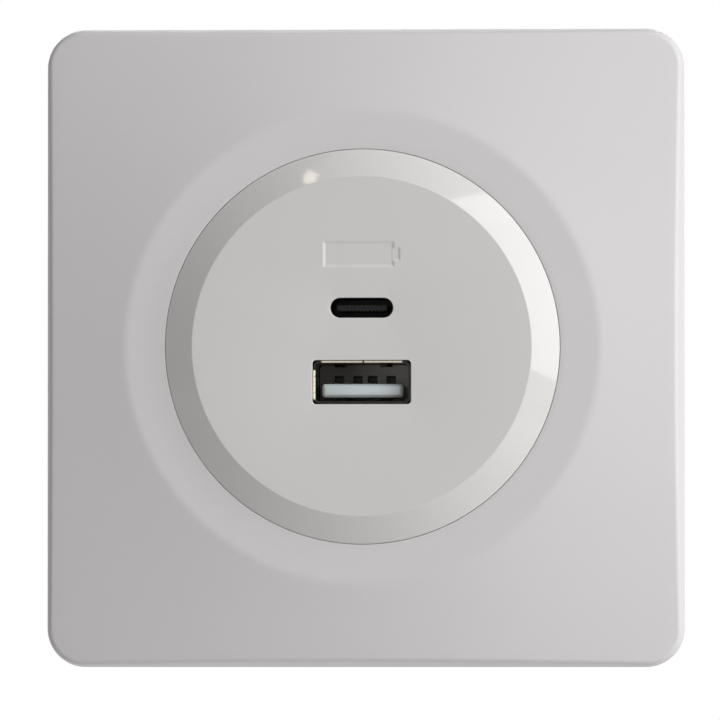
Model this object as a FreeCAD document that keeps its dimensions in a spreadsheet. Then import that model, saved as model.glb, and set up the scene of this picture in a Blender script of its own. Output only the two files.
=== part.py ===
import FreeCAD, Part
import math
import os
import Sketcher

# A flush-mounted wall socket with one USB-A and one USB-C charging port.
# The wall plane is Y = 0. The room is on the -Y side and the wall box on the +Y side.
# X is to the right as seen from the room and Z is up.
# A "level" is the distance from the wall plane towards the room, so level = -Y.
# Everything behind the wall plane has a negative level.

# Driving dimensions, in millimetres and degrees.
SIZES = {
    # cover frame
    "plate_side": 86.0,
    "plate_corner": 5.2,
    "plate_wall": 2.0,
    "edge_draft": 5.0,
    "edge_round": 0.8,
    "dish_level": 8.0,
    "dish_radius": 31.9,
    "dish_blend": 10.0,
    "rise_angle": 12.0,
    "ledge_width": 2.0,
    "ledge_depth": 2.4,
    "ledge_thickness": 1.5,
    "foot_width": 6.0,
    "foot_thickness": 1.6,
    "foot_angle": 22.0,
    "rib_thickness": 1.2,
    "rib_height": 2.4,
    # centre plate
    "disc_radius": 26.6,
    "disc_gap": 0.15,
    "disc_wall": 2.0,
    "face_radius": 22.8,
    "face_level": 10.2,
    "icon_rise": 12.33,
    "icon_width": 9.63,
    "icon_height": 3.57,
    "icon_depth": 0.32,
    "icon_draft": 40.0,
    "nub_width": 0.8,
    "nub_height": 1.93,
    "nub_depth": 0.24,
    "tongue_width": 6.0,
    "tongue_thickness": 1.4,
    "tongue_gap": 0.2,
    "barb_height": 1.4,
    "barb_reach": 0.8,
    "catch_gap": 0.15,
    # ports
    "usb_a_drop": 4.83,
    "usb_a_width": 13.2,
    "usb_a_height": 5.9,
    "usb_a_corner": 0.5,
    "usb_a_gap": 0.08,
    "usb_a_recess": 0.55,
    "usb_a_sheet": 0.3,
    "usb_a_shell_corner": 0.9,
    "usb_a_tongue_width": 10.9,
    "usb_a_tongue_thickness": 1.84,
    "usb_a_tongue_drop": 1.1,
    "usb_a_tongue_recess": 1.9,
    "usb_a_nose_bevel": 0.4,
    "usb_a_base": 5.0,
    "usb_a_pitch_inner": 2.0,
    "usb_a_pitch_outer": 7.0,
    "usb_a_contact_width": 1.0,
    "usb_a_contact_thickness": 0.3,
    "usb_a_spring_width": 1.6,
    "usb_a_spring_length": 3.4,
    "usb_a_spring_bend": 0.45,
    "usb_a_spring_offset": 3.1,
    "usb_c_rise": 5.14,
    "usb_c_width": 8.44,
    "usb_c_height": 2.68,
    "usb_c_lip": 1.1,
    "usb_c_shell_width": 8.94,
    "usb_c_shell_height": 3.16,
    "usb_c_sheet": 0.3,
    "usb_c_tongue_width": 6.69,
    "usb_c_tongue_thickness": 0.7,
    "usb_c_tongue_recess": 0.6,
    "usb_c_base": 6.0,
    "usb_c_pitch": 0.5,
    "usb_c_contact_width": 0.25,
    "usb_c_contact_thickness": 0.1,
    "port_gap": 0.15,
    # support ring
    "ring_inset": 5.5,
    "ring_corner": 8.0,
    "ring_thickness": 1.2,
    "screw_pitch": 60.0,
    "slot_width": 3.6,
    "slot_length": 5.6,
    "cross_slot_length": 12.0,
    "corner_hole_inset": 8.0,
    "corner_hole": 3.4,
    # claws and their screws
    "claw_screw_radius": 1.5,
    "claw_screw_length": 21.0,
    "claw_head_radius": 2.6,
    "claw_head_height": 1.8,
    "claw_arm": 3.3,
    "claw_pivot_depth": 2.2,
    "claw_barrel_radius": 1.2,
    "claw_pin_radius": 0.9,
    "claw_sheet": 1.4,
    "claw_width": 10.0,
    "claw_tip_width": 7.0,
    "claw_reach": 22.0,
    "claw_outer_margin": 1.8,
    "tooth_height": 1.2,
    "tooth_pitch": 2.0,
    "ear_thickness": 1.2,
    "ear_length": 3.9,
    "ear_margin": 1.9,
    "case_clearance": 0.2,
    "claw_clearance": 0.5,
    "side_gap": 0.1,
    "running_gap": 0.06,
    "driver_slot": 0.8,
    "driver_slot_depth": 0.9,
    # housing
    "case_width": 35.0,
    "case_height": 44.0,
    "case_corner": 4.0,
    "case_wall": 1.5,
    "case_depth": 28.0,
    "case_edge": 0.8,
    "flange_thickness": 1.5,
    "spigot_gap": 0.5,
    "spigot_wall": 1.5,
    "opening_gap": 0.2,
    "turret_radius": 17.3,
    "turret_wall": 3.4,
    "turret_level": 6.9,
    "turret_top": 1.5,
    "case_screw_inset": 4.3,
    "boss_radius": 2.2,
    "column_radius": 2.9,
    "pilot_radius": 1.15,
    "pilot_end": 1.9,
    "case_screw_radius": 1.15,
    "case_screw_passage": 1.4,
    "case_head_radius": 2.1,
    "case_head_height": 1.6,
    "case_head_sink": 2.2,
    "head_gap": 0.15,
    # boards
    "usb_board_depth": 4.2,
    "usb_board_thickness": 1.0,
    "usb_board_inset": 0.2,
    "power_board_depth": 8.0,
    "power_board_thickness": 1.6,
    "board_gap": 0.3,
    "notch_gap": 0.3,
    "link_inset": 5.4,
    "link_pitch": 2.54,
    "link_strip_width": 12.4,
    "link_strip_height": 2.4,
    "link_pin_radius": 0.32,
    "link_pin_end": 0.8,
    "pin_hole_gap": 0.15,
    # terminals
    "pole_offset": 5.0,
    "block_width": 20.4,
    "block_height": 11.6,
    "block_gap": 0.1,
    "terminal_rise": 5.5,
    "chamber_width": 7.2,
    "chamber_depth": 8.2,
    "chamber_floor": 2.0,
    "block_roof": 1.5,
    "wire_hole_radius": 2.1,
    "access_radius": 1.9,
    "terminal_screw_radius": 1.5,
    "terminal_head_radius": 2.3,
    "terminal_head_height": 2.0,
    "thread_lap": 1.5,
    "terminal_tip_gap": 0.1,
    "bar_thickness": 1.0,
    "bar_width": 4.4,
    "bar_leg_gap": 0.4,
    "bar_pin_end": 0.8,
    "cage_width": 6.8,
    "cage_depth": 6.4,
    "cage_side": 0.8,
    "cage_floor": 1.0,
    "cage_roof": 1.5,
    "cage_front_gap": 2.2,
    "cage_spare": 0.5,
    "thinnest_wire": 1.0,
    # transformer
    "transformer_x": 1.0,
    "transformer_z": 8.0,
    "core_width": 16.0,
    "core_gap": 1.3,
    "core_thickness": 5.0,
    "core_back": 2.0,
    "core_leg": 2.2,
    "core_middle": 4.0,
    "bobbin_rail": 2.0,
    "bobbin_wall": 0.6,
    "bobbin_gap": 0.1,
    "flange_width": 11.2,
    "flange_height": 11.6,
    "winding_inset": 0.4,
    "winding_corner": 2.2,
    # capacitors and the other parts on the boards
    "input_cap_radius": 4.0,
    "input_cap_gap": 3.9,
    "input_cap_x": 11.6,
    "input_cap_z": 1.8,
    "input_cap_step": 8.3,
    "output_cap_radius": 3.15,
    "output_cap_gap": 7.9,
    "output_cap_x": 12.4,
    "output_cap_z": 3.9,
    "output_cap_step": 7.0,
    "can_round": 0.5,
    "can_groove": 0.35,
    "can_groove_level": 1.8,
    "fuse_radius": 3.9,
    "fuse_gap": 9.3,
    "fuse_x": 11.2,
    "fuse_z": 6.4,
    "choke_radius": 3.0,
    "choke_core_radius": 2.0,
    "choke_gap": 9.4,
    "choke_flange": 1.2,
    "choke_x": 3.2,
    "choke_z": 5.6,
    "disc_lead": 0.6,
    "varistor_radius": 4.5,
    "varistor_thickness": 3.6,
    "varistor_x": 12.6,
    "varistor_z": 5.5,
    "safety_cap_radius": 3.5,
    "safety_cap_thickness": 3.2,
    "safety_cap_x": 5.6,
    "safety_cap_z": 7.4,
    "bridge_x": 4.4,
    "bridge_z": 1.2,
    "bridge_length": 6.6,
    "bridge_width": 5.0,
    "bridge_height": 2.5,
    "chip_length": 5.0,
    "chip_width": 4.0,
    "chip_height": 1.4,
    "chip_edge": 0.25,
    "switcher_x": 7.0,
    "switcher_z": 4.0,
    "coupler_x": 9.0,
    "coupler_z": 6.0,
    "rectifier_x": 9.5,
    "rectifier_z": 5.0,
    "controller_side": 5.0,
    "controller_height": 0.9,
    "controller_z": 10.5,
}

# Counts, and angles that no size changes.
CORNER_COUNT = 4
TOOTH_COUNT = 3
LINK_PIN_COUNT = 4
USB_C_ROW_COUNT = 12
DIAGONAL_TURN = 45
FULL_TURN = 360
DIAGONAL = math.sqrt(0.5)

# How near two lengths count as equal, in millimetres.
NEAR = 0.01

# The origin point of a sketch, as its constraints name it.
ORIGIN = (-1, 1)

document = FreeCAD.newDocument("usb_wall_socket")
sheet = document.addObject("Spreadsheet::Sheet", "Sizes")
for row, (alias, number) in enumerate(SIZES.items(), start=1):
    sheet.set("A%d" % row, alias)
    sheet.set("B%d" % row, str(number))
    sheet.setAlias("B%d" % row, alias)
document.recompute()


class Size:
    """A length or an angle: its number, and the formula that ties it to the sheet."""

    def __init__(self, value, formula=None):
        self.value = float(value)
        self.formula = formula or "(%r)" % float(value)

    def _join(self, sign, other, value):
        return Size(value, "(%s %s %s)" % (self.formula, sign, other.formula))

    def __add__(self, other):
        other = as_size(other)
        return self._join("+", other, self.value + other.value)

    def __radd__(self, other):
        return as_size(other) + self

    def __sub__(self, other):
        other = as_size(other)
        return self._join("-", other, self.value - other.value)

    def __rsub__(self, other):
        return as_size(other) - self

    def __mul__(self, other):
        other = as_size(other)
        return self._join("*", other, self.value * other.value)

    def __rmul__(self, other):
        return as_size(other) * self

    def __truediv__(self, other):
        other = as_size(other)
        return self._join("/", other, self.value / other.value)

    def __neg__(self):
        return Size(-self.value, "(0 - %s)" % self.formula)


def as_size(thing):
    return thing if isinstance(thing, Size) else Size(thing)


def tangent(angle):
    return Size(math.tan(math.radians(angle.value)), "tan(%s)" % angle.formula)


def sine(angle):
    return Size(math.sin(math.radians(angle.value)), "sin(%s)" % angle.formula)


def cosine(angle):
    return Size(math.cos(math.radians(angle.value)), "cos(%s)" % angle.formula)


class Sizes:
    """Every cell of the sheet as an attribute of its own name."""

    def __init__(self):
        for name in SIZES:
            setattr(self, name, Size(sheet.get(name), "Sizes." + name))


s = Sizes()


def bind(thing, name, size):
    """Set a property to a size and tie it to the sheet."""
    size = as_size(size)
    thing.setExpression(name, size.formula)


def new_body(label):
    body = document.addObject("PartDesign::Body", label)
    body.Label = label
    return body


class Drawing:
    """A sketch on one of a body's own origin planes.

    On the wall plane its coordinates are X and Z and it sits at a level. On the side
    plane they are X and level and it sits at a Z. On the end plane they are level and
    Z and it sits at an X. A turn swings the side plane about the axis of the socket.
    """

    PLANES = {"wall": "XZ_Plane", "side": "XY_Plane", "end": "YZ_Plane"}

    def __init__(self, body, plane="wall", at=0.0, turn=0.0):
        self.plane = plane
        self.sketch = body.newObject("Sketcher::SketchObject", "outline")
        wanted = self.PLANES[plane]
        base = [f for f in body.Origin.OriginFeatures if f.Role == wanted][0]
        self.sketch.AttachmentSupport = [(base, "")]
        self.sketch.MapMode = "FlatFace"
        rotation = FreeCAD.Rotation(FreeCAD.Vector(0, 1, 0), turn)
        offset = FreeCAD.Vector(0, 0, as_size(at).value)
        self.sketch.AttachmentOffset = FreeCAD.Placement(offset, rotation)
        bind(self.sketch, "AttachmentOffset.Base.z", at)

    def _local(self, first, second):
        first, second = as_size(first), as_size(second)
        if self.plane == "side":
            return first, -second
        if self.plane == "end":
            return -first, second
        return first, second

    def _pin(self, index, point, first, second):
        """Hold one point of the sketch at two bound distances from the origin."""
        for kind, size in (("DistanceX", first), ("DistanceY", second)):
            number = self.sketch.addConstraint(
                Sketcher.Constraint(kind, *ORIGIN, index, point, size.value))
            bind(self.sketch, "Constraints[%d]" % number, size)

    def _radius(self, index, radius):
        number = self.sketch.addConstraint(Sketcher.Constraint("Radius", index, radius.value))
        bind(self.sketch, "Constraints[%d]" % number, radius)

    def circle(self, first, second, radius):
        first, second = self._local(first, second)
        radius = as_size(radius)
        centre = FreeCAD.Vector(first.value, second.value, 0)
        index = self.sketch.addGeometry(
            Part.Circle(centre, FreeCAD.Vector(0, 0, 1), radius.value))
        self._pin(index, 3, first, second)
        self._radius(index, radius)
        return self

    def outline(self, points):
        """A closed outline of straight edges through the points."""
        corners = [self._local(*point) for point in points]
        places = [FreeCAD.Vector(x.value, y.value, 0) for x, y in corners]
        count = len(places)
        first = self.sketch.GeometryCount
        for i in range(count):
            self.sketch.addGeometry(Part.LineSegment(places[i], places[(i + 1) % count]))
        for i in range(count):
            self.sketch.addConstraint(Sketcher.Constraint(
                "Coincident", first + i, 2, first + (i + 1) % count, 1))
            self._pin(first + i, 1, *corners[i])
        return self

    def rectangle(self, first, second, width, height):
        left, right = first - width / 2, first + width / 2
        low, high = second - height / 2, second + height / 2
        return self.outline([(left, low), (right, low), (right, high), (left, high)])

    def _corner_arcs(self, centres, radius, spans):
        """Arcs about their centres, joined in order by tangent lines."""
        start = self.sketch.GeometryCount
        count = len(centres)
        ends = []
        for (x, y), (a0, a1) in zip(centres, spans):
            centre = FreeCAD.Vector(x.value, y.value, 0)
            circle = Part.Circle(centre, FreeCAD.Vector(0, 0, 1), radius.value)
            arc = Part.ArcOfCircle(circle, math.radians(a0), math.radians(a1))
            self.sketch.addGeometry(arc)
            ends.append((arc.StartPoint, arc.EndPoint))
        for i in range(count):
            self.sketch.addGeometry(Part.LineSegment(ends[i][1], ends[(i + 1) % count][0]))
        for i in range(count):
            line = start + count + i
            follower = start + (i + 1) % count
            self.sketch.addConstraint(Sketcher.Constraint("Tangent", start + i, 2, line, 1))
            self.sketch.addConstraint(Sketcher.Constraint("Tangent", line, 2, follower, 1))
        for i, (x, y) in enumerate(centres):
            self._pin(start + i, 3, x, y)
            self._radius(start + i, radius)
        return self

    def rounded(self, first, second, width, height, radius):
        """A rectangle with round corners."""
        first, second = self._local(first, second)
        across, up = as_size(width) / 2 - radius, as_size(height) / 2 - radius
        centres = [(first + across, second + up), (first - across, second + up),
                   (first - across, second - up), (first + across, second - up)]
        spans = [(0, 90), (90, 180), (180, 270), (270, 360)]
        return self._corner_arcs(centres, as_size(radius), spans)

    def stadium(self, first, second, length, height):
        """A slot with full round ends, long side along the first coordinate."""
        first, second = self._local(first, second)
        radius = as_size(height) / 2
        across = as_size(length) / 2 - radius
        centres = [(first + across, second), (first - across, second)]
        return self._corner_arcs(centres, radius, [(-90, 90), (90, 270)])


def pad(body, drawing, length, back=False, both=False, draft=None):
    """Material on the room side of a drawing, or on the wall side when back is set."""
    feature = body.newObject("PartDesign::Pad", "pad")
    feature.Profile = drawing.sketch
    bind(feature, "Length", length)
    feature.Reversed = back
    feature.Midplane = both
    if draft is not None:
        bind(feature, "TaperAngle", draft)
    document.recompute()
    return feature


def pocket(body, drawing, length, back=False, both=False, draft=None):
    """A cut on the room side of a drawing, or on the wall side when back is set."""
    before = body.Shape.Volume
    feature = body.newObject("PartDesign::Pocket", "pocket")
    feature.Profile = drawing.sketch
    bind(feature, "Length", length)
    feature.Reversed = not back
    feature.Midplane = both
    if draft is not None:
        bind(feature, "TaperAngle", draft)
    document.recompute()
    if not body.Shape.Volume < before:
        raise RuntimeError("a cut in %s removes nothing" % body.Label)
    return feature


def turn(body, drawing, cut=False):
    """A full turn of a side drawing about the axis of the socket."""
    kind = "PartDesign::Groove" if cut else "PartDesign::Revolution"
    feature = body.newObject(kind, "turned")
    feature.Profile = drawing.sketch
    feature.ReferenceAxis = (drawing.sketch, ["V_Axis"])
    feature.Angle = FULL_TURN
    document.recompute()
    return feature


def repeat_round(body, features, count):
    """Copies of features at equal angles about the axis of the socket."""
    pattern = body.newObject("PartDesign::PolarPattern", "pattern")
    pattern.Originals = features
    axis = [f for f in body.Origin.OriginFeatures if f.Role == "Y_Axis"][0]
    pattern.Axis = (axis, [""])
    pattern.Angle = FULL_TURN
    pattern.Occurrences = count
    body.Tip = pattern
    document.recompute()
    return pattern


def is_level(edge):
    """True for an edge that keeps one distance from the wall."""
    return edge.BoundBox.YLength < NEAR


def is_at(edge, level):
    """True for an edge that lies in the plane of a level."""
    return is_level(edge) and abs(edge.BoundBox.YMin + level.value) < NEAR


def dress_edges(body, kind, name, size, wanted):
    """A fillet or a chamfer on the edges of the body's tip that the test picks."""
    tip = body.Tip
    names = ["Edge%d" % (i + 1) for i, e in enumerate(tip.Shape.Edges) if wanted(e)]
    feature = body.newObject("PartDesign::" + kind, "edges")
    feature.Base = (tip, names)
    bind(feature, name, size)
    document.recompute()
    return feature


def round_edges(body, radius, wanted):
    return dress_edges(body, "Fillet", "Radius", radius, wanted)


def bevel_edges(body, size, wanted):
    return dress_edges(body, "Chamfer", "Size", size, wanted)


def rod(label, x, z, start, end, radius):
    """A cylinder square to the wall between two levels."""
    start, end = as_size(start), as_size(end)
    piece = document.addObject("Part::Cylinder", label)
    piece.Label = label
    bind(piece, "Radius", radius)
    bind(piece, "Height", end - start)
    piece.Placement = FreeCAD.Placement(
        FreeCAD.Vector(0, 0, 0), FreeCAD.Rotation(FreeCAD.Vector(1, 0, 0), 90))
    bind(piece, "Placement.Base.x", x)
    bind(piece, "Placement.Base.y", -start)
    bind(piece, "Placement.Base.z", z)
    return piece


def brick(label, x, z, width, height, start, end):
    """A block centred on x and z between two levels."""
    start, end = as_size(start), as_size(end)
    piece = document.addObject("Part::Box", label)
    piece.Label = label
    bind(piece, "Length", width)
    bind(piece, "Width", end - start)
    bind(piece, "Height", height)
    bind(piece, "Placement.Base.x", x - as_size(width) / 2)
    bind(piece, "Placement.Base.y", -end)
    bind(piece, "Placement.Base.z", z - as_size(height) / 2)
    return piece


def spread(count, pitch):
    """Places at equal steps on both sides of zero."""
    return [(number - (count - 1) / 2) * pitch for number in range(count)]


def group(label, pieces):
    """Like pieces that share one node, each a solid of its own."""
    compound = document.addObject("Part::Compound", label)
    compound.Label = label
    compound.Links = pieces
    return compound


# Levels that several pieces share.
ledge_level = s.dish_level - s.ledge_depth
ledge_radius = s.disc_radius - s.ledge_width
inner_face = s.face_level - s.disc_wall
spigot_width = s.case_width - 2 * (s.case_wall + s.spigot_gap)
spigot_height = s.case_height - 2 * (s.case_wall + s.spigot_gap)
usb_board_front = -s.usb_board_depth
usb_board_back = usb_board_front - s.usb_board_thickness
power_board_front = -s.power_board_depth
power_board_back = power_board_front - s.power_board_thickness
turret_floor = s.turret_level - s.turret_top
usb_a_mouth = s.face_level - s.usb_a_recess
usb_c_mouth = s.face_level - s.usb_c_lip
usb_a_shell_width = s.usb_a_width - 2 * s.usb_a_gap
usb_a_shell_height = s.usb_a_height - 2 * s.usb_a_gap
claw_pivot = s.case_width / 2 + s.claw_clearance + s.claw_barrel_radius
claw_screw_offset = claw_pivot + s.claw_arm
barb_level = s.ring_thickness + s.flange_thickness + s.barb_height / 2
ring_side = s.plate_side - 2 * (s.plate_wall + s.ring_inset)
case_screw_x = s.case_width / 2 - s.case_screw_inset
case_screw_z = s.case_height / 2 - s.case_screw_inset
link_z = s.case_height / 2 - s.link_inset
terminal_z = s.terminal_rise - s.case_height / 2
# Free depth between the power board and the rear wall of the housing.
board_to_rear = s.case_depth - s.case_wall + power_board_back


def frame_block(label, inset):
    """The form of the cover frame: drafted sides under a cone with a flat top."""
    body = new_body(label)
    side = s.plate_side - 2 * inset
    top = s.dish_level - inset
    base = Drawing(body).rounded(0, 0, side, side, s.plate_corner - inset)
    pad(body, base, top, draft=-s.edge_draft)
    far = s.plate_side
    fallen = top - (far - s.dish_radius) * tangent(s.rise_angle)
    slope = Drawing(body, "side").outline(
        [(s.dish_radius, top), (far, fallen), (far, far), (s.dish_radius, far)])
    turn(body, slope, cut=True)
    return body


def cover_frame():
    """Moulded square frame with a sloping face round a flat dish."""
    body = frame_block("cover_frame", Size(0))

    def dish_edge(edge):
        return is_level(edge) and abs(edge.BoundBox.XLength - 2 * s.dish_radius.value) < NEAR

    def outer_edge(edge):
        box = edge.BoundBox
        across = max(box.XLength, box.ZLength)
        outside = edge.CenterOfMass.Length > s.dish_radius.value
        return outside and box.YMax < -NEAR and across > max(box.YLength, s.edge_round.value)

    round_edges(body, s.dish_blend, dish_edge)
    round_edges(body, s.edge_round, outer_edge)
    hollow = frame_block("frame_hollow", s.plate_wall)
    cut = body.newObject("PartDesign::Boolean", "hollowed")
    cut.Type = "Cut"
    cut.setObjects([hollow])
    document.recompute()
    hole_radius = s.disc_radius + s.disc_gap
    pocket(body, Drawing(body).circle(0, 0, hole_radius), s.face_level)
    ledge_bottom = ledge_level - s.ledge_thickness
    outer_radius = hole_radius + s.plate_wall
    underside = s.dish_level - s.plate_wall
    ledge = Drawing(body, "side").outline([
        (ledge_radius, ledge_bottom), (outer_radius, ledge_bottom),
        (outer_radius, underside + s.plate_wall / 2), (hole_radius, underside + s.plate_wall / 2),
        (hole_radius, ledge_level), (ledge_radius, ledge_level)])
    turn(body, ledge)
    # Four feet under the ledge stand on the support ring, clear of every screw head.
    ring_middle = (ledge_radius + outer_radius) / 2 - s.foot_thickness / 2
    foot_x, foot_z = ring_middle * cosine(s.foot_angle), ring_middle * sine(s.foot_angle)
    for side in (-1, 1):
        for end in (-1, 1):
            foot = Drawing(body, at=s.ring_thickness).rectangle(
                side * foot_x, end * foot_z, s.foot_thickness, s.foot_width)
            pad(body, foot, ledge_bottom - s.ring_thickness)
    # A rib on each diagonal stiffens the corner between the collar and the side walls.
    rib_start = hole_radius + s.plate_wall / 2
    corner = (s.plate_side / 2 - s.plate_corner) / DIAGONAL + s.plate_corner
    rib_end = corner - s.plate_wall - s.edge_round
    slope = tangent(s.rise_angle)
    roof_end = underside + s.plate_wall / 4 - (rib_end - s.dish_radius) * slope
    rib = Drawing(body, "side", turn=DIAGONAL_TURN).outline([
        (rib_start, ledge_bottom), (rib_start, underside + s.plate_wall / 4),
        (s.dish_radius, underside + s.plate_wall / 4), (rib_end, roof_end),
        (rib_end, roof_end - s.rib_height / 2)])
    rib_pad = pad(body, rib, s.rib_thickness, both=True)
    repeat_round(body, [rib_pad], CORNER_COUNT)
    return body


def centre_plate():
    """Round moulded plate with the two ports, a battery sign and four snap tongues."""
    body = new_body("centre_plate")
    slope = (s.face_level - s.dish_level) / (s.disc_radius - s.face_radius)
    bend = s.face_radius - s.disc_wall / 2
    rim_inner = ledge_radius + s.disc_gap
    rim_roof = inner_face - (rim_inner - bend) * slope
    profile = Drawing(body, "side").outline([
        (0, inner_face), (0, s.face_level), (s.face_radius, s.face_level),
        (s.disc_radius, s.dish_level), (s.disc_radius, ledge_level),
        (rim_inner, ledge_level), (rim_inner, rim_roof), (bend, inner_face)])
    turn(body, profile)
    # The skirt stiffens the plate just outside the turret.
    tongue_inner = s.turret_radius + s.tongue_gap
    tongue_outer = tongue_inner + s.tongue_thickness
    barb_root = barb_level - s.barb_height / 2
    skirt = Drawing(body, "side").outline([
        (tongue_inner, turret_floor), (tongue_outer, turret_floor),
        (tongue_outer, inner_face + s.disc_wall / 4), (tongue_inner, inner_face + s.disc_wall / 4)])
    turn(body, skirt)
    # One snap tongue on each diagonal, with a barb that hooks into the turret.
    barb_top = barb_root + s.barb_height
    tongue = Drawing(body, "side", turn=DIAGONAL_TURN).outline([
        (tongue_inner + s.barb_reach / 2, barb_root), (tongue_outer, barb_root),
        (tongue_outer, inner_face - s.disc_wall / 4), (tongue_inner, inner_face - s.disc_wall / 4),
        (tongue_inner, barb_top), (tongue_inner - s.barb_reach, barb_top)])
    tongue_pad = pad(body, tongue, s.tongue_width, both=True)
    repeat_round(body, [tongue_pad], CORNER_COUNT)
    # The USB-C shell stands in a recess behind a thin lip.
    recess = Drawing(body, at=usb_c_mouth).stadium(
        0, s.usb_c_rise, s.usb_c_shell_width + 2 * s.port_gap,
        s.usb_c_shell_height + 2 * s.port_gap)
    pocket(body, recess, s.disc_wall, back=True)
    usb_c = Drawing(body).stadium(0, s.usb_c_rise, s.usb_c_width, s.usb_c_height)
    pocket(body, usb_c, s.face_level)
    usb_a = Drawing(body).rounded(
        0, -s.usb_a_drop, s.usb_a_width, s.usb_a_height, s.usb_a_corner)
    pocket(body, usb_a, s.face_level)
    # The battery sign is sunk with sloping walls, and its pole is shallower than its body.
    sign = Drawing(body, at=s.face_level).rectangle(
        -s.nub_width / 2, s.icon_rise, s.icon_width, s.icon_height)
    pocket(body, sign, s.icon_depth, back=True, draft=-s.icon_draft)
    pole = Drawing(body, at=s.face_level).rectangle(
        (s.icon_width - s.nub_width) / 2, s.icon_rise, 2 * s.nub_width, s.nub_height)
    pocket(body, pole, s.nub_depth, back=True, draft=-s.icon_draft)
    return body


def support_ring():
    """Stamped steel plate that the box screws hold, with two pairs of bent ears."""
    body = new_body("support_ring")
    pad(body, Drawing(body).rounded(0, 0, ring_side, ring_side, s.ring_corner),
        s.ring_thickness)
    through = s.ring_thickness
    opening = Drawing(body).rounded(
        0, 0, spigot_width + 2 * s.opening_gap, spigot_height + 2 * s.opening_gap,
        s.case_corner - s.case_wall)
    pocket(body, opening, through)
    reach, corner = s.screw_pitch / 2, ring_side / 2 - s.corner_hole_inset
    for side in (-1, 1):
        pocket(body, Drawing(body).stadium(side * reach, 0, s.slot_length, s.slot_width), through)
        cross = Drawing(body).stadium(0, side * reach, s.cross_slot_length, s.slot_width)
        pocket(body, cross, through)
        screw = Drawing(body).circle(
            side * claw_screw_offset, 0, s.claw_screw_radius + s.running_gap)
        pocket(body, screw, through)
        for end in (-1, 1):
            hole = Drawing(body).circle(side * corner, end * corner, s.corner_hole / 2)
            pocket(body, hole, through)
            middle = s.claw_width / 2 + s.side_gap + s.ear_thickness / 2
            inner = s.case_width / 2 + s.case_clearance
            outer = claw_pivot + s.ear_margin
            ear = Drawing(body, at=s.ring_thickness).rectangle(
                side * (inner + outer) / 2, end * middle, outer - inner, s.ear_thickness)
            pad(body, ear, s.ear_length + s.ring_thickness, back=True)
        pins = Drawing(body, "side").circle(
            side * claw_pivot, -s.claw_pivot_depth, s.claw_pin_radius + s.running_gap)
        pocket(body, pins, 2 * s.claw_width, both=True)
    return body


def claw(label, side):
    """Spreading claw of bent sheet that swings on two pins in the ring's ears."""
    body = new_body(label)
    pivot = side * claw_pivot
    front = -s.claw_pivot_depth - s.side_gap
    back = front - s.claw_sheet
    outer = claw_screw_offset + s.claw_screw_radius + s.claw_outer_margin
    inner = outer - s.claw_sheet
    tip = -s.claw_reach
    points = [(claw_pivot, front), (outer, front)]
    for tooth in range(TOOTH_COUNT, 0, -1):
        root = tip + s.tooth_pitch * tooth
        points += [(outer, root), (outer + s.tooth_height, root - s.tooth_pitch / 2)]
    points += [(outer, tip), (inner, tip), (inner, back), (claw_pivot, back)]
    section = Drawing(body, "side").outline([(side * x, level) for x, level in points])
    pad(body, section, s.claw_width, both=True)
    barrel = Drawing(body, "side").circle(pivot, -s.claw_pivot_depth, s.claw_barrel_radius)
    pad(body, barrel, s.claw_width, both=True)
    pins = Drawing(body, "side").circle(pivot, -s.claw_pivot_depth, s.claw_pin_radius)
    pad(body, pins, s.claw_width + 2 * (s.side_gap + s.ear_thickness), both=True)
    # The hole leaves the screw room while the claw tips.
    slack = 2 * (s.claw_screw_radius + s.running_gap)
    hole = Drawing(body).stadium(
        side * claw_screw_offset, 0, slack + s.claw_sheet, slack)
    pocket(body, hole, -back + s.claw_sheet, back=True)
    # The leg narrows towards its teeth.
    half, narrow = s.claw_width / 2, s.claw_tip_width / 2
    for end in (-1, 1):
        wedge = Drawing(body, "end", at=side * inner).outline([
            (back - s.claw_sheet, end * half), (tip, end * narrow),
            (tip, end * (half + s.side_gap))])
        pocket(body, wedge, 2 * (s.claw_sheet + s.tooth_height), both=True)
    return body


def slotted_screw(label, x, z, tip, seat, head_top, radius, head_radius, slot_at_top):
    """A turned screw square to the wall: a shank, a head on one end and a driver slot."""
    low, high = sorted((tip, head_top), key=lambda size: size.value)
    shank_low, shank_high = (low, seat) if slot_at_top else (seat, high)
    head_low, head_high = (seat, high) if slot_at_top else (low, seat)
    body = new_body(label)
    pad(body, Drawing(body, at=shank_low).circle(x, z, radius), shank_high - shank_low)
    pad(body, Drawing(body, at=head_low).circle(x, z, head_radius), head_high - head_low)
    mouth = Drawing(body, at=head_high if slot_at_top else head_low).rectangle(
        x, z, s.driver_slot, 3 * head_radius)
    pocket(body, mouth, s.driver_slot_depth, back=slot_at_top)
    return body


def claw_screw(label, side):
    """Long screw that pulls on the claw; its head bears on the support ring."""
    return slotted_screw(
        label, side * claw_screw_offset, Size(0), s.ring_thickness - s.claw_screw_length,
        s.ring_thickness, s.ring_thickness + s.claw_head_height, s.claw_screw_radius,
        s.claw_head_radius, slot_at_top=True)


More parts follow.
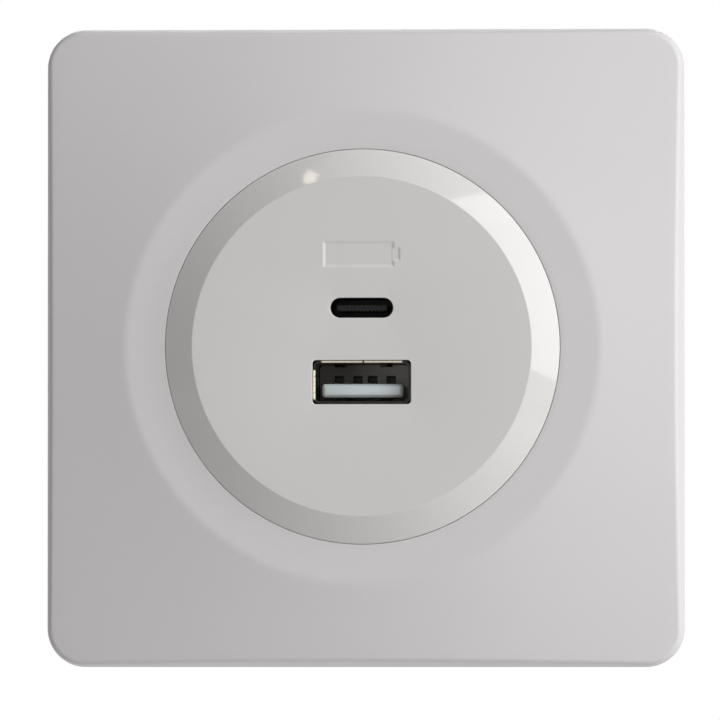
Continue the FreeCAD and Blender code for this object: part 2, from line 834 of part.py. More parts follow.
def housing_front():
    """Moulded front half of the housing: spigot, flange and the turret with the ports."""
    body = new_body("housing_front")
    flange = Drawing(body, at=s.ring_thickness).rounded(
        0, 0, s.case_width, s.case_height, s.case_corner)
    pad(body, flange, s.flange_thickness)
    turret = Drawing(body, at=s.ring_thickness).circle(0, 0, s.turret_radius)
    pad(body, turret, s.turret_level - s.ring_thickness)
    spigot = Drawing(body, at=usb_board_front).rounded(
        0, 0, spigot_width, spigot_height, s.case_corner - s.case_wall)
    pad(body, spigot, s.ring_thickness - usb_board_front)
    hollow = Drawing(body, at=usb_board_front).rounded(
        0, 0, spigot_width - 2 * s.spigot_wall, spigot_height - 2 * s.spigot_wall,
        s.case_corner - s.case_wall - s.spigot_wall / 2)
    pocket(body, hollow, s.ring_thickness - usb_board_front)
    well = Drawing(body, at=usb_board_front).circle(0, 0, s.turret_radius - s.turret_wall)
    pocket(body, well, turret_floor - usb_board_front)
    ports = Drawing(body).rectangle(
        0, -s.usb_a_drop, usb_a_shell_width + 2 * s.port_gap,
        usb_a_shell_height + 2 * s.port_gap)
    ports.stadium(0, s.usb_c_rise, s.usb_c_shell_width + 2 * s.port_gap,
                  s.usb_c_shell_height + 2 * s.port_gap)
    pocket(body, ports, s.face_level)
    # A recess on each diagonal of the turret catches a barb of the centre plate.
    catch_low = barb_level - s.barb_height / 2 - s.catch_gap
    catch_high = barb_level + s.barb_height / 2 + s.catch_gap
    catch_deep = s.turret_radius - s.barb_reach - s.catch_gap
    catch = Drawing(body, "side", turn=DIAGONAL_TURN).outline([
        (catch_deep, catch_low), (s.turret_radius + s.turret_wall, catch_low),
        (s.turret_radius + s.turret_wall, catch_high), (catch_deep, catch_high)])
    catch_cut = pocket(body, catch, s.tongue_width + 2 * s.catch_gap, both=True)
    repeat_round(body, [catch_cut], CORNER_COUNT)
    # Two bosses pass the USB board, bear on the power board and take the case screws.
    for side in (-1, 1):
        boss = Drawing(body, at=power_board_front).circle(
            side * case_screw_x, side * case_screw_z, s.boss_radius)
        pad(body, boss, s.ring_thickness - power_board_front)
        pilot = Drawing(body, at=power_board_front).circle(
            side * case_screw_x, side * case_screw_z, s.pilot_radius)
        pocket(body, pilot, s.pilot_end - power_board_front)
    return body


def housing_rear():
    """Deep moulded cup in the wall box, with pillars that carry the power board."""
    body = new_body("housing_rear")
    shell = Drawing(body).rounded(0, 0, s.case_width, s.case_height, s.case_corner)
    pad(body, shell, s.case_depth, back=True)
    rear = -s.case_depth

    round_edges(body, s.case_edge, lambda edge: is_at(edge, rear))
    hollow = Drawing(body).rounded(
        0, 0, s.case_width - 2 * s.case_wall, s.case_height - 2 * s.case_wall,
        s.case_corner - s.case_wall)
    pocket(body, hollow, s.case_depth - s.case_wall, back=True)
    # Two columns guide the case screws and two plain pillars carry the other corners.
    for x_side, z_side in ((-1, -1), (1, 1), (-1, 1), (1, -1)):
        radius = s.column_radius if x_side == z_side else s.boss_radius
        post = Drawing(body, at=power_board_back).circle(
            x_side * case_screw_x, z_side * case_screw_z, radius)
        pad(body, post, s.case_depth + power_board_back - s.case_wall / 2, back=True)
    for side in (-1, 1):
        x, z = side * case_screw_x, side * case_screw_z
        passage = Drawing(body).circle(x, z, s.case_screw_passage)
        pocket(body, passage, s.case_depth, back=True)
        sink = Drawing(body, at=rear).circle(x, z, s.case_head_radius + s.head_gap)
        pocket(body, sink, s.case_head_sink)
    # The terminal block closes this window in the bottom and rear walls.
    top = s.block_height - s.case_height / 2 + s.block_gap
    low = -s.case_height
    window = Drawing(body, at=rear).rectangle(
        0, (top + low) / 2, s.block_width + 2 * s.block_gap, top - low)
    pocket(body, window, s.case_depth + power_board_back)
    return body


def case_screws():
    """Two long screws that draw the halves of the housing together."""
    seat = -s.case_depth + s.case_head_sink
    pieces = []
    for number, side in enumerate((-1, 1), start=1):
        pieces.append(slotted_screw(
            "case_screw_%d" % number, side * case_screw_x, side * case_screw_z,
            Size(0), seat, seat - s.case_head_height, s.case_screw_radius,
            s.case_head_radius, slot_at_top=False))
    return group("case_screws", pieces)


def usb_a_shell():
    """Folded sheet tube of the USB-A port, with two springs on each long side."""
    body = new_body("usb_a_shell")
    centre = -s.usb_a_drop
    length = usb_a_mouth - usb_board_front
    outer = Drawing(body, at=usb_board_front).rounded(
        0, centre, usb_a_shell_width, usb_a_shell_height, s.usb_a_shell_corner)
    pad(body, outer, length)
    bore_width = usb_a_shell_width - 2 * s.usb_a_sheet
    bore_height = usb_a_shell_height - 2 * s.usb_a_sheet
    bore = Drawing(body, at=usb_board_front).rounded(
        0, centre, bore_width, bore_height, s.usb_a_shell_corner - s.usb_a_sheet)
    pocket(body, bore, length)
    # Each spring is a strip bent inwards behind a window in the wall.
    near = usb_a_mouth - s.usb_a_spring_length / 2
    deep = near - s.usb_a_spring_length
    for across in (-1, 1):
        for end in (-1, 1):
            wall = centre + end * (bore_height / 2)
            outside = wall + end * s.usb_a_sheet
            window = Drawing(body, "end", at=across * s.usb_a_spring_offset).outline([
                (deep, outside + end * s.usb_a_sheet), (near, outside + end * s.usb_a_sheet),
                (near, wall - end * s.usb_a_sheet), (deep, wall - end * s.usb_a_sheet)])
            pocket(body, window, s.usb_a_spring_width + 2 * s.usb_a_sheet, both=True)
            bent = wall - end * s.usb_a_spring_bend
            strip = Drawing(body, "end", at=across * s.usb_a_spring_offset).outline([
                (near + s.usb_a_sheet, outside), (near, outside),
                (deep + s.usb_a_sheet, bent + end * s.usb_a_sheet),
                (deep, bent + 2 * end * s.usb_a_sheet), (deep, bent + end * s.usb_a_sheet),
                (deep + s.usb_a_sheet, bent), (near, wall), (near + s.usb_a_sheet, wall)])
            pad(body, strip, s.usb_a_spring_width, both=True)
    return body


def usb_a_insulator():
    """White moulding of the USB-A port: a base with four slots, and the contact tongue."""
    body = new_body("usb_a_insulator")
    centre = -s.usb_a_drop
    inset = 2 * (s.usb_a_sheet + s.port_gap / 2)
    base = Drawing(body, at=usb_board_front).rounded(
        0, centre, usb_a_shell_width - inset, usb_a_shell_height - inset,
        s.usb_a_shell_corner - s.usb_a_sheet)
    pad(body, base, s.usb_a_base)
    tongue_z = centre - s.usb_a_tongue_drop
    end = usb_a_mouth - s.usb_a_tongue_recess
    tongue = Drawing(body, at=usb_board_front).rectangle(
        0, tongue_z, s.usb_a_tongue_width, s.usb_a_tongue_thickness)
    pad(body, tongue, end - usb_board_front)
    bevel_edges(body, s.usb_a_nose_bevel, lambda edge: is_at(edge, end))
    top = tongue_z + s.usb_a_tongue_thickness / 2
    for x in contact_places():
        slot = Drawing(body, at=usb_board_front).rectangle(
            x, top + s.usb_a_contact_thickness / 2, s.usb_a_contact_width + s.port_gap,
            s.usb_a_contact_thickness + s.port_gap)
        pocket(body, slot, s.usb_a_base)
    return body


def contact_places():
    inner, outer = s.usb_a_pitch_inner / 2, s.usb_a_pitch_outer / 2
    return (-outer, -inner, inner, outer)


def usb_a_contacts():
    """Four flat spring contacts along the upper side of the tongue."""
    tongue_top = -s.usb_a_drop - s.usb_a_tongue_drop + s.usb_a_tongue_thickness / 2
    end = usb_a_mouth - s.usb_a_tongue_recess - 2 * s.usb_a_contact_thickness
    pieces = []
    for number, x in enumerate(contact_places(), start=1):
        pieces.append(brick(
            "usb_a_contact_%d" % number, x, tongue_top + s.usb_a_contact_thickness / 2,
            s.usb_a_contact_width, s.usb_a_contact_thickness, usb_board_front, end))
    return group("usb_a_contacts", pieces)


def usb_c_shell():
    """Seamless oval tube of the USB-C port."""
    body = new_body("usb_c_shell")
    length = usb_c_mouth - usb_board_front
    outer = Drawing(body, at=usb_board_front).stadium(
        0, s.usb_c_rise, s.usb_c_shell_width, s.usb_c_shell_height)
    pad(body, outer, length)
    bore = Drawing(body, at=usb_board_front).stadium(
        0, s.usb_c_rise, s.usb_c_shell_width - 2 * s.usb_c_sheet,
        s.usb_c_shell_height - 2 * s.usb_c_sheet)
    pocket(body, bore, length)
    return body


def usb_c_insulator():
    """Black moulding of the USB-C port: a base that fills the tube, and a thin tongue."""
    body = new_body("usb_c_insulator")
    shrink = 2 * (s.usb_c_sheet + s.port_gap / 3)
    base = Drawing(body, at=usb_board_front).stadium(
        0, s.usb_c_rise, s.usb_c_shell_width - shrink, s.usb_c_shell_height - shrink)
    pad(body, base, s.usb_c_base)
    tongue = Drawing(body, at=usb_board_front).rectangle(
        0, s.usb_c_rise, s.usb_c_tongue_width, s.usb_c_tongue_thickness)
    pad(body, tongue, usb_c_mouth - s.usb_c_tongue_recess - usb_board_front)
    return body


def usb_c_contacts():
    """Twelve contacts on each side of the tongue."""
    pieces = []
    base = usb_board_front + s.usb_c_base
    end = usb_c_mouth - 2 * s.usb_c_tongue_recess
    middle = (s.usb_c_tongue_thickness + s.usb_c_contact_thickness) / 2
    for row, side in enumerate((-1, 1), start=1):
        for number, x in enumerate(spread(USB_C_ROW_COUNT, s.usb_c_pitch), start=1):
            pieces.append(brick(
                "usb_c_contact_%d_%d" % (row, number), x, s.usb_c_rise + side * middle,
                s.usb_c_contact_width, s.usb_c_contact_thickness, base, end))
    return group("usb_c_contacts", pieces)


def usb_board():
    """Board that carries both ports, held by the rim of the spigot."""
    body = new_body("usb_board")
    board = Drawing(body, at=usb_board_back).rounded(
        0, 0, spigot_width - 2 * s.usb_board_inset, spigot_height - 2 * s.usb_board_inset,
        s.case_corner - s.case_wall)
    pad(body, board, s.usb_board_thickness)
    notches = Drawing(body, at=usb_board_back)
    for side in (-1, 1):
        notches.circle(side * case_screw_x, side * case_screw_z,
                       s.boss_radius + s.notch_gap)
    pocket(body, notches, s.usb_board_thickness)
    holes = Drawing(body, at=usb_board_back)
    for x in spread(LINK_PIN_COUNT, s.link_pitch):
        holes.circle(x, link_z, s.link_pin_radius + s.pin_hole_gap)
    pocket(body, holes, s.usb_board_thickness)
    return body


def power_board():
    """Main board, clamped between the bosses and the pillars of the housing."""
    body = new_body("power_board")
    board = Drawing(body, at=power_board_back).rounded(
        0, 0, s.case_width - 2 * (s.case_wall + s.board_gap),
        s.case_height - 2 * (s.case_wall + s.board_gap), s.case_corner - s.case_wall)
    pad(body, board, s.power_board_thickness)
    holes = Drawing(body, at=power_board_back)
    for side in (-1, 1):
        holes.circle(side * case_screw_x, side * case_screw_z, s.case_screw_passage)
    for x in spread(LINK_PIN_COUNT, s.link_pitch):
        holes.circle(x, link_z, s.link_pin_radius + s.pin_hole_gap)
    pocket(body, holes, s.power_board_thickness)
    slots = Drawing(body, at=power_board_back)
    for side in (-1, 1):
        slots.rectangle(side * s.pole_offset, bar_leg_z(), s.bar_width + 2 * s.pin_hole_gap,
                        s.bar_thickness + 2 * s.pin_hole_gap)
    pocket(body, slots, s.power_board_thickness)
    return body


def link_header():
    """Insulating strip between the boards."""
    body = new_body("link_header")
    strip = Drawing(body, at=power_board_front).rectangle(
        0, link_z, s.link_strip_width, s.link_strip_height)
    pad(body, strip, usb_board_back - power_board_front)
    holes = Drawing(body, at=power_board_front)
    for x in spread(LINK_PIN_COUNT, s.link_pitch):
        holes.circle(x, link_z, s.link_pin_radius)
    pocket(body, holes, usb_board_back - power_board_front)
    return body


def link_pins():
    """Pins that carry the low voltage from one board to the other."""
    pieces = []
    for number, x in enumerate(spread(LINK_PIN_COUNT, s.link_pitch), start=1):
        pieces.append(rod(
            "link_pin_%d" % number, x, link_z, power_board_back - s.link_pin_end,
            usb_board_front + s.link_pin_end, s.link_pin_radius))
    return group("link_pins", pieces)


# Levels along a terminal, from its screw head at the rear to the floor of its cage.
block_rear = -s.case_depth
head_rear = block_rear + s.block_roof + s.terminal_tip_gap
head_seat = head_rear + s.terminal_head_height
clamp_room = power_board_back - s.cage_front_gap - head_seat
clamp_sheets = s.cage_roof + s.cage_floor + s.bar_thickness
clamp_play = s.cage_spare + s.thread_lap + s.terminal_tip_gap
travel_and_wire = clamp_room - clamp_sheets - clamp_play
wire_gap = (travel_and_wire + s.thinnest_wire) / 2
cage_travel = wire_gap - s.thinnest_wire
cage_roof_rear = head_seat + s.cage_spare + cage_travel
screw_tip = cage_roof_rear + s.cage_roof + s.thread_lap
bar_rear = screw_tip + s.terminal_tip_gap
bar_front = bar_rear + s.bar_thickness
cage_floor_rear = bar_front + wire_gap
cage_front = cage_floor_rear + s.cage_floor
chamber_low = s.chamber_floor - s.case_height / 2


def bar_leg_z():
    return s.cage_depth / 2 + s.bar_leg_gap + s.bar_thickness / 2 + terminal_z


def terminal_block():
    """Two-pole moulding with a chamber, a wire entry and a screw access for each pole."""
    body = new_body("terminal_block")
    middle = (s.block_height - s.case_height) / 2
    outer = Drawing(body, at=block_rear).rectangle(0, middle, s.block_width, s.block_height)
    depth = power_board_back - block_rear
    pad(body, outer, depth)
    for side in (-1, 1):
        x = side * s.pole_offset
        chamber = Drawing(body, at=power_board_back).rectangle(
            x, chamber_low + s.chamber_depth / 2, s.chamber_width, s.chamber_depth)
        pocket(body, chamber, depth - s.block_roof, back=True)
        access = Drawing(body, at=block_rear).circle(x, terminal_z, s.access_radius)
        pocket(body, access, 2 * s.block_roof)
        entry = Drawing(body, "side", at=-s.case_height / 2).circle(
            x, (bar_front + cage_floor_rear) / 2, s.wire_hole_radius)
        pocket(body, entry, s.chamber_floor)
    return body


def terminal_screw(label, side):
    """Clamping screw that turns in place and lifts the cage."""
    return slotted_screw(
        label, side * s.pole_offset, terminal_z, screw_tip, head_seat, head_rear,
        s.terminal_screw_radius, s.terminal_head_radius, slot_at_top=False)


def terminal_cage(label, side):
    """Folded cage that rises along its screw and presses the wire to the bar."""
    body = new_body(label)
    x = side * s.pole_offset
    height = cage_front - cage_roof_rear
    outer = Drawing(body, at=cage_roof_rear).rectangle(
        x, terminal_z, s.cage_width, s.cage_depth)
    pad(body, outer, height)
    low, high = cage_roof_rear + s.cage_roof, cage_floor_rear
    opening = Drawing(body, "side", at=terminal_z).rectangle(
        x, (low + high) / 2, s.cage_width - 2 * s.cage_side, high - low)
    pocket(body, opening, 2 * s.cage_depth, both=True)
    thread = Drawing(body, at=cage_roof_rear).circle(
        x, terminal_z, s.terminal_screw_radius + s.running_gap)
    pocket(body, thread, s.cage_roof)
    return body


def terminal_bar(label, side):
    """Bent copper strip from the clamping point to the board."""
    body = new_body(label)
    leg_low = bar_leg_z() - s.bar_thickness / 2
    leg_high = leg_low + s.bar_thickness
    end = terminal_z - s.cage_depth / 2
    pin_end = power_board_front + s.bar_pin_end
    strip = Drawing(body, "end", at=side * s.pole_offset).outline([
        (bar_rear, end), (bar_front, end), (bar_front, leg_low), (pin_end, leg_low),
        (pin_end, leg_high), (bar_rear, leg_high)])
    pad(body, strip, s.bar_width, both=True)
    return body


# Levels of the transformer, from its feet on the board to the top of its core.
core_front = power_board_back - s.bobbin_rail
core_rear = power_board_back - board_to_rear + s.core_gap
core_split = (core_front + core_rear) / 2
window_front = core_front - s.core_back
window_rear = core_rear + s.core_back
tube_width = s.core_middle + 2 * (s.bobbin_gap + s.bobbin_wall)
tube_height = s.core_thickness + 2 * (s.bobbin_gap + s.bobbin_wall)


def transformer_cores():
    """Two ferrite halves of E section that meet on their three legs."""
    pieces = []
    half = s.core_width / 2
    for number, (back, window) in enumerate(
            ((core_front, window_front), (core_rear, window_rear)), start=1):
        body = new_body("transformer_core_%d" % number)
        steps = [-half, s.core_leg - half, -s.core_middle / 2, s.core_middle / 2,
                 half - s.core_leg, half]
        x = [s.transformer_x + step for step in steps]
        section = Drawing(body, "side", at=s.transformer_z).outline([
            (x[0], back), (x[0], core_split), (x[1], core_split), (x[1], window),
            (x[2], window), (x[2], core_split), (x[3], core_split), (x[3], window),
            (x[4], window), (x[4], core_split), (x[5], core_split), (x[5], back)])
        pad(body, section, s.core_thickness, both=True)
        pieces.append(body)
    return group("transformer_cores", pieces)


def transformer_bobbin():
    """Moulded bobbin: a tube with two flanges, and two rails that stand on the board."""
    body = new_body("transformer_bobbin")
    x, z = s.transformer_x, s.transformer_z
    front, rear = window_front - s.bobbin_gap, window_rear + s.bobbin_gap
    for level in (front - s.bobbin_wall, rear):
        flange = Drawing(body, at=level).rectangle(x, z, s.flange_width, s.flange_height)
        pad(body, flange, s.bobbin_wall)
        if level is not rear:
            tube = Drawing(body, at=rear).rectangle(x, z, tube_width, tube_height)
            pad(body, tube, front - rear)
    passage = Drawing(body, at=rear).rectangle(
        x, z, s.core_middle + 2 * s.bobbin_gap, s.core_thickness + 2 * s.bobbin_gap)
    pocket(body, passage, front - rear)
    rail_inner = s.core_thickness / 2 + s.bobbin_gap
    rail_height = s.flange_height / 2 - rail_inner
    for side in (-1, 1):
        rail = Drawing(body, at=front - s.bobbin_wall).rectangle(
            x, z + side * (rail_inner + rail_height / 2), s.flange_width, rail_height)
        pad(body, rail, power_board_back - front + s.bobbin_wall)
    return body


def transformer_winding():
    """Taped winding that fills the bobbin between its flanges."""
    body = new_body("transformer_winding")
    x, z = s.transformer_x, s.transformer_z
    front = window_front - s.bobbin_gap - s.bobbin_wall
    rear = window_rear + s.bobbin_gap + s.bobbin_wall
    coil = Drawing(body, at=rear).rounded(
        x, z, s.flange_width - 2 * s.winding_inset, s.flange_height - 2 * s.winding_inset,
        s.winding_corner)
    pad(body, coil, front - rear)
    tube = Drawing(body, at=rear).rectangle(x, z, tube_width, tube_height)
    pocket(body, tube, front - rear)
    return body


def can(label, x, z, radius, height):
    """Electrolytic can on the rear of the power board, with its crimped groove."""
    body = new_body(label)
    pad(body, Drawing(body, at=power_board_back).circle(x, z, radius), height, back=True)
    round_edges(body, s.can_round, lambda edge: is_at(edge, power_board_back - height))
    groove_level = power_board_back - s.can_groove_level
    ring = Drawing(body, at=groove_level).circle(x, z, radius + s.can_groove)
    ring.circle(x, z, radius - s.can_groove)
    pocket(body, ring, 2 * s.can_groove, back=True)
    return body


def capacitor_pair(label, x, z, step, radius, height):
    name = label[:-1]
    return group(label, [
        can("%s_%d" % (name, number + 1), x, z + number * step, radius, height)
        for number in (0, 1)])


def fuse():
    """Round radial fuse."""
    body = new_body("fuse")
    height = board_to_rear - s.fuse_gap
    drum = Drawing(body, at=power_board_back).circle(-s.fuse_x, -s.fuse_z, s.fuse_radius)
    pad(body, drum, height, back=True)
    round_edges(body, s.can_round, lambda edge: is_at(edge, power_board_back - height))
    return body


choke_height = board_to_rear - s.choke_gap


def filter_choke():
    """Drum core between two flanges."""
    body = new_body("filter_choke")
    x, z = -s.choke_x, -s.choke_z
    core = Drawing(body, at=power_board_back).circle(x, z, s.choke_core_radius)
    pad(body, core, choke_height, back=True)
    rear = power_board_back - choke_height
    for level in (rear, power_board_back - s.choke_flange):
        flange = Drawing(body, at=level).circle(x, z, s.choke_radius)
        pad(body, flange, s.choke_flange)
    return body


def choke_winding():
    """Copper winding round the drum core."""
    body = new_body("choke_winding")
    x, z = -s.choke_x, -s.choke_z
    start = power_board_back - choke_height + s.choke_flange
    length = choke_height - 2 * s.choke_flange
    turns = Drawing(body, at=start).circle(x, z, (s.choke_radius + s.choke_core_radius) / 2)
    turns.circle(x, z, s.choke_core_radius)
    pad(body, turns, length)
    return body


def varistor():
    """Coated disc that stands on its two leads."""
    body = new_body("varistor")
    centre = power_board_back - s.disc_lead - s.varistor_radius
    disc = Drawing(body, "end", at=s.varistor_x).circle(
        centre, -s.varistor_z, s.varistor_radius)
    pad(body, disc, s.varistor_thickness, both=True)
    add_leads(body, s.varistor_x, -s.varistor_z, 0, s.varistor_radius / 2, centre)
    return body


def safety_capacitor():
    """Coated disc that bridges the two sides of the transformer."""
    body = new_body("safety_capacitor")
    centre = power_board_back - s.disc_lead - s.safety_cap_radius
    disc = Drawing(body, "side", at=-s.safety_cap_z).circle(
        s.safety_cap_x, centre, s.safety_cap_radius)
    pad(body, disc, s.safety_cap_thickness, both=True)
    add_leads(body, s.safety_cap_x, -s.safety_cap_z, s.safety_cap_radius / 2, 0, centre)
    return body


def add_leads(body, x, z, x_step, z_step, centre):
    """Two round leads from a disc down to the face of the board."""
    for side in (-1, 1):
        lead = Drawing(body, at=centre).circle(
            x + side * x_step, z + side * z_step, s.link_pin_radius)
        pad(body, lead, power_board_back - centre)


def chip(label, x, z, length, width, start, end):
    """Moulded package with a bevelled rim, between two levels."""
    body = new_body(label)
    package = Drawing(body, at=start).rectangle(x, z, length, width)
    pad(body, package, end - start)
    bevel_edges(body, s.chip_edge, is_level)
    return body


def small_parts():
    """Packages on the faces of the two boards."""
    low, high = power_board_front, power_board_front + s.chip_height
    rear = power_board_back - s.bridge_height
    return [
        chip("bridge_rectifier", s.bridge_x, -s.bridge_z, s.bridge_length, s.bridge_width,
             rear, power_board_back),
        chip("switching_controller", -s.switcher_x, -s.switcher_z, s.chip_length,
             s.chip_width, low, high),
        chip("optocoupler", -s.coupler_x, s.coupler_z, s.chip_width, s.chip_length, low, high),
        chip("output_rectifier", s.rectifier_x, s.rectifier_z, s.chip_length, s.chip_width,
             low, high),
        chip("charge_controller", Size(0), s.controller_z, s.controller_side,
             s.controller_side, usb_board_back - s.controller_height, usb_board_back),
    ]


nodes = [
    cover_frame(),
    centre_plate(),
    support_ring(),
    claw("left_claw", -1),
    claw("right_claw", 1),
    claw_screw("left_claw_screw", -1),
    claw_screw("right_claw_screw", 1),
    housing_front(),
    housing_rear(),
    case_screws(),
    usb_a_shell(),
    usb_a_insulator(),
    usb_a_contacts(),
    usb_c_shell(),
    usb_c_insulator(),
    usb_c_contacts(),
    usb_board(),
    power_board(),
    link_header(),
    link_pins(),
    terminal_block(),
    terminal_screw("line_screw", -1),
    terminal_screw("neutral_screw", 1),
    terminal_cage("line_cage", -1),
    terminal_cage("neutral_cage", 1),
    terminal_bar("line_bar", -1),
    terminal_bar("neutral_bar", 1),
    transformer_cores(),
    transformer_bobbin(),
    transformer_winding(),
    capacitor_pair("input_capacitors", -s.input_cap_x, s.input_cap_z, s.input_cap_step,
                   s.input_cap_radius, board_to_rear - s.input_cap_gap),
    capacitor_pair("output_capacitors", s.output_cap_x, s.output_cap_z, s.output_cap_step,
                   s.output_cap_radius, board_to_rear - s.output_cap_gap),
    fuse(),
    filter_choke(),
    choke_winding(),
    varistor(),
    safety_capacitor(),
] + small_parts()

document.recompute()

for thing in document.Objects:
    if "Invalid" in thing.State or "Error" in thing.State:
        raise RuntimeError("%s did not compute" % thing.Label)
for node in nodes:
    if node.Shape.isNull() or not node.Shape.isValid():
        raise RuntimeError("%s has no valid shape" % node.Label)

os.makedirs("parts", exist_ok=True)
for node in nodes:
    node.Shape.exportStep("parts/%s.step" % node.Label)
    print(node.Label, len(node.Shape.Solids), round(node.Shape.Volume, 2))
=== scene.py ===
import math

import bmesh
import bpy
import numpy as np
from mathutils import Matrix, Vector


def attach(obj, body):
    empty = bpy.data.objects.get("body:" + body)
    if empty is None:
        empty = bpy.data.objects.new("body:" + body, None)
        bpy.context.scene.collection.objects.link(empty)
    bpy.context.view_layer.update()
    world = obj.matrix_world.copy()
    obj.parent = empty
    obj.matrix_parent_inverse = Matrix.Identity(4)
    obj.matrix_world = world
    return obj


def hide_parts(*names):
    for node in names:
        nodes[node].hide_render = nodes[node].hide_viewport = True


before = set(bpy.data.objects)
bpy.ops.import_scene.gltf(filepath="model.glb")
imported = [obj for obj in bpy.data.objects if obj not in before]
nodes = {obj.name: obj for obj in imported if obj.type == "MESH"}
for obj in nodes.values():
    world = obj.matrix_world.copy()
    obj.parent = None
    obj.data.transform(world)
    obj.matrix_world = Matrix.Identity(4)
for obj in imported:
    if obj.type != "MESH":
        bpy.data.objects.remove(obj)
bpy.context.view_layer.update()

# A flush-mounted wall socket with a USB-C and a USB-A charging port.
# Lengths are in millimetres until a mesh is made.
# A level is the distance from the wall plane towards the room, which is the -Y side.
MM = 0.001
MERGE_DISTANCE = 2e-7
SHORTEST_EDGE = 1e-8
LEVEL_TOLERANCE = 1e-6


def place(x, z, level):
    """Points of the frame, in metres, from X, Z and level in millimetres."""
    x, z, level = np.broadcast_arrays(*(np.asarray(v, float) for v in (x, z, level)))
    return np.stack([x, -level, z], axis=-1) * MM


class Shell:
    """Grids of points and flat faces that together close into one mesh."""

    def __init__(self):
        self.points = []
        self.faces = []
        self.count = 0

    def _keep(self, points):
        first = self.count
        self.points.append(points.reshape(-1, 3))
        self.count += len(self.points[-1])
        return first

    def grid(self, points, close_rows=False, close_columns=False):
        """Four-sided faces between neighbouring rows and columns of a grid."""
        rows, columns = points.shape[:2]
        first = self._keep(points)
        i, j = np.meshgrid(np.arange(rows if close_rows else rows - 1),
                           np.arange(columns if close_columns else columns - 1), indexing="ij")
        k, m = (i + 1) % rows, (j + 1) % columns
        quads = np.stack([i * columns + j, i * columns + m, k * columns + m, k * columns + j], -1)
        self.faces += (quads.reshape(-1, 4) + first).tolist()
        return self

    def flat(self, points):
        """One face with all the points round it."""
        first = self._keep(points)
        self.faces.append(list(range(first, first + len(points))))
        return self

    def prism(self, near, far):
        """A solid between two like outlines."""
        self.grid(np.stack([near, far]), close_columns=True)
        return self.flat(near).flat(far)

    def make(self, name, crease=30.0, fills=()):
        """The mesh object: doubles merged, flat openings filled, faces turned outwards.

        Each fill is a level at which the open loops are closed by one flat face with holes.
        The crease is in degrees.
        """
        mesh = bpy.data.meshes.new(name)
        mesh.from_pydata(np.concatenate(self.points), [], self.faces)
        work = bmesh.new()
        work.from_mesh(mesh)
        bmesh.ops.remove_doubles(work, verts=work.verts, dist=MERGE_DISTANCE)
        bmesh.ops.dissolve_degenerate(work, edges=work.edges, dist=SHORTEST_EDGE)
        for level in fills:
            rim = [e for e in work.edges if e.is_boundary
                   and all(abs(v.co.y + level * MM) < LEVEL_TOLERANCE for v in e.verts)]
            bmesh.ops.triangle_fill(work, edges=rim, use_beauty=True)
        bmesh.ops.recalc_face_normals(work, faces=work.faces)
        work.to_mesh(mesh)
        work.free()
        mesh.shade_smooth()
        mesh.set_sharp_from_angle(angle=math.radians(crease))
        piece = bpy.data.objects.new(name, mesh)
        bpy.context.scene.collection.objects.link(piece)
        return piece


def wear(piece, material, body, node):
    """Give a piece its material and its body, and hide the node it stands for."""
    piece.data.materials.clear()
    piece.data.materials.append(material)
    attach(piece, body)
    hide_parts(node)


# Cover frame
PLATE_HALF = 43.0
PLATE_CORNER = 5.2
PLATE_WALL = 2.0
EDGE_DRAFT = math.radians(7.5)
EDGE_ROUND = 0.8
DISH_LEVEL = 8.0
DISH_RADIUS = 31.9
DISH_BLEND = 6.0
RISE = math.radians(12.0)
HOLE_RADIUS = 26.56
SEAM_ROUND = 0.06
LEDGE_RADIUS = 24.6
LEDGE_LEVEL = 5.6
LEDGE_BOTTOM = 4.1
COLLAR_RADIUS = 28.75
RING_TOP = 1.2
RIB_WIDTH = 1.2
RIB_HEIGHT = 2.4
RIB_ROOT = 0.75
FOOT_WIDTH = 6.0
FOOT_THICKNESS = 1.6
FOOT_ANGLE = math.radians(22.0)
SIDE_STEPS = 40
CORNER_STEPS = 32
EDGE_STEPS = 12
CONE_STEPS = 14
BLEND_STEPS = 12
RIM_STEPS = 4
FLAT_STEPS = 5
UNDERSIDE_PASSES = 12
DIAGONALS = (45, 135, 225, 315)


def square_outline(half, corner, side_steps, corner_steps):
    """Points of a square with round corners, and the outward direction at each.

    Each quarter runs up half a side, round the corner arc and along half of the next side,
    with its points evenly spaced on each straight length and on the arc.
    """
    reach = half - corner
    t = (np.arange(side_steps) / side_steps)[:, None]
    turn = (np.arange(corner_steps + 1) / corner_steps * math.pi / 2)[:, None]
    side = np.hstack([np.full_like(t, half), reach * t])
    bend = np.hstack([reach + corner * np.cos(turn), reach + corner * np.sin(turn)])
    back = np.hstack([reach * (1 - t[1:]), np.full_like(t[1:], half)])
    quarter = np.vstack([side, bend, back])
    normal = np.vstack([np.tile([1.0, 0.0], (side_steps, 1)),
                        np.hstack([np.cos(turn), np.sin(turn)]),
                        np.tile([0.0, 1.0], (side_steps - 1, 1))])
    spins = [np.array([[c, s], [-s, c]]) for c, s in ((1, 0), (0, 1), (-1, 0), (0, -1))]
    return (np.vstack([quarter @ spin for spin in spins]),
            np.vstack([normal @ spin for spin in spins]))


def cone_level(radius, top):
    """Level of a flat dish that falls away as a cone outside its radius."""
    return top - np.maximum(radius - DISH_RADIUS, 0.0) * math.tan(RISE)


def circle_rows(angles, profile):
    """A profile of (radius, level) pairs turned about the axis of the socket."""
    radius, level = np.asarray(profile, float).T
    return place(np.outer(radius, np.cos(angles)), np.outer(radius, np.sin(angles)),
                 level[:, None])


def inset_points(outline, normal, inset):
    """The outline moved inwards by an inset that may differ from point to point."""
    return outline - normal * np.asarray(inset)[..., None]


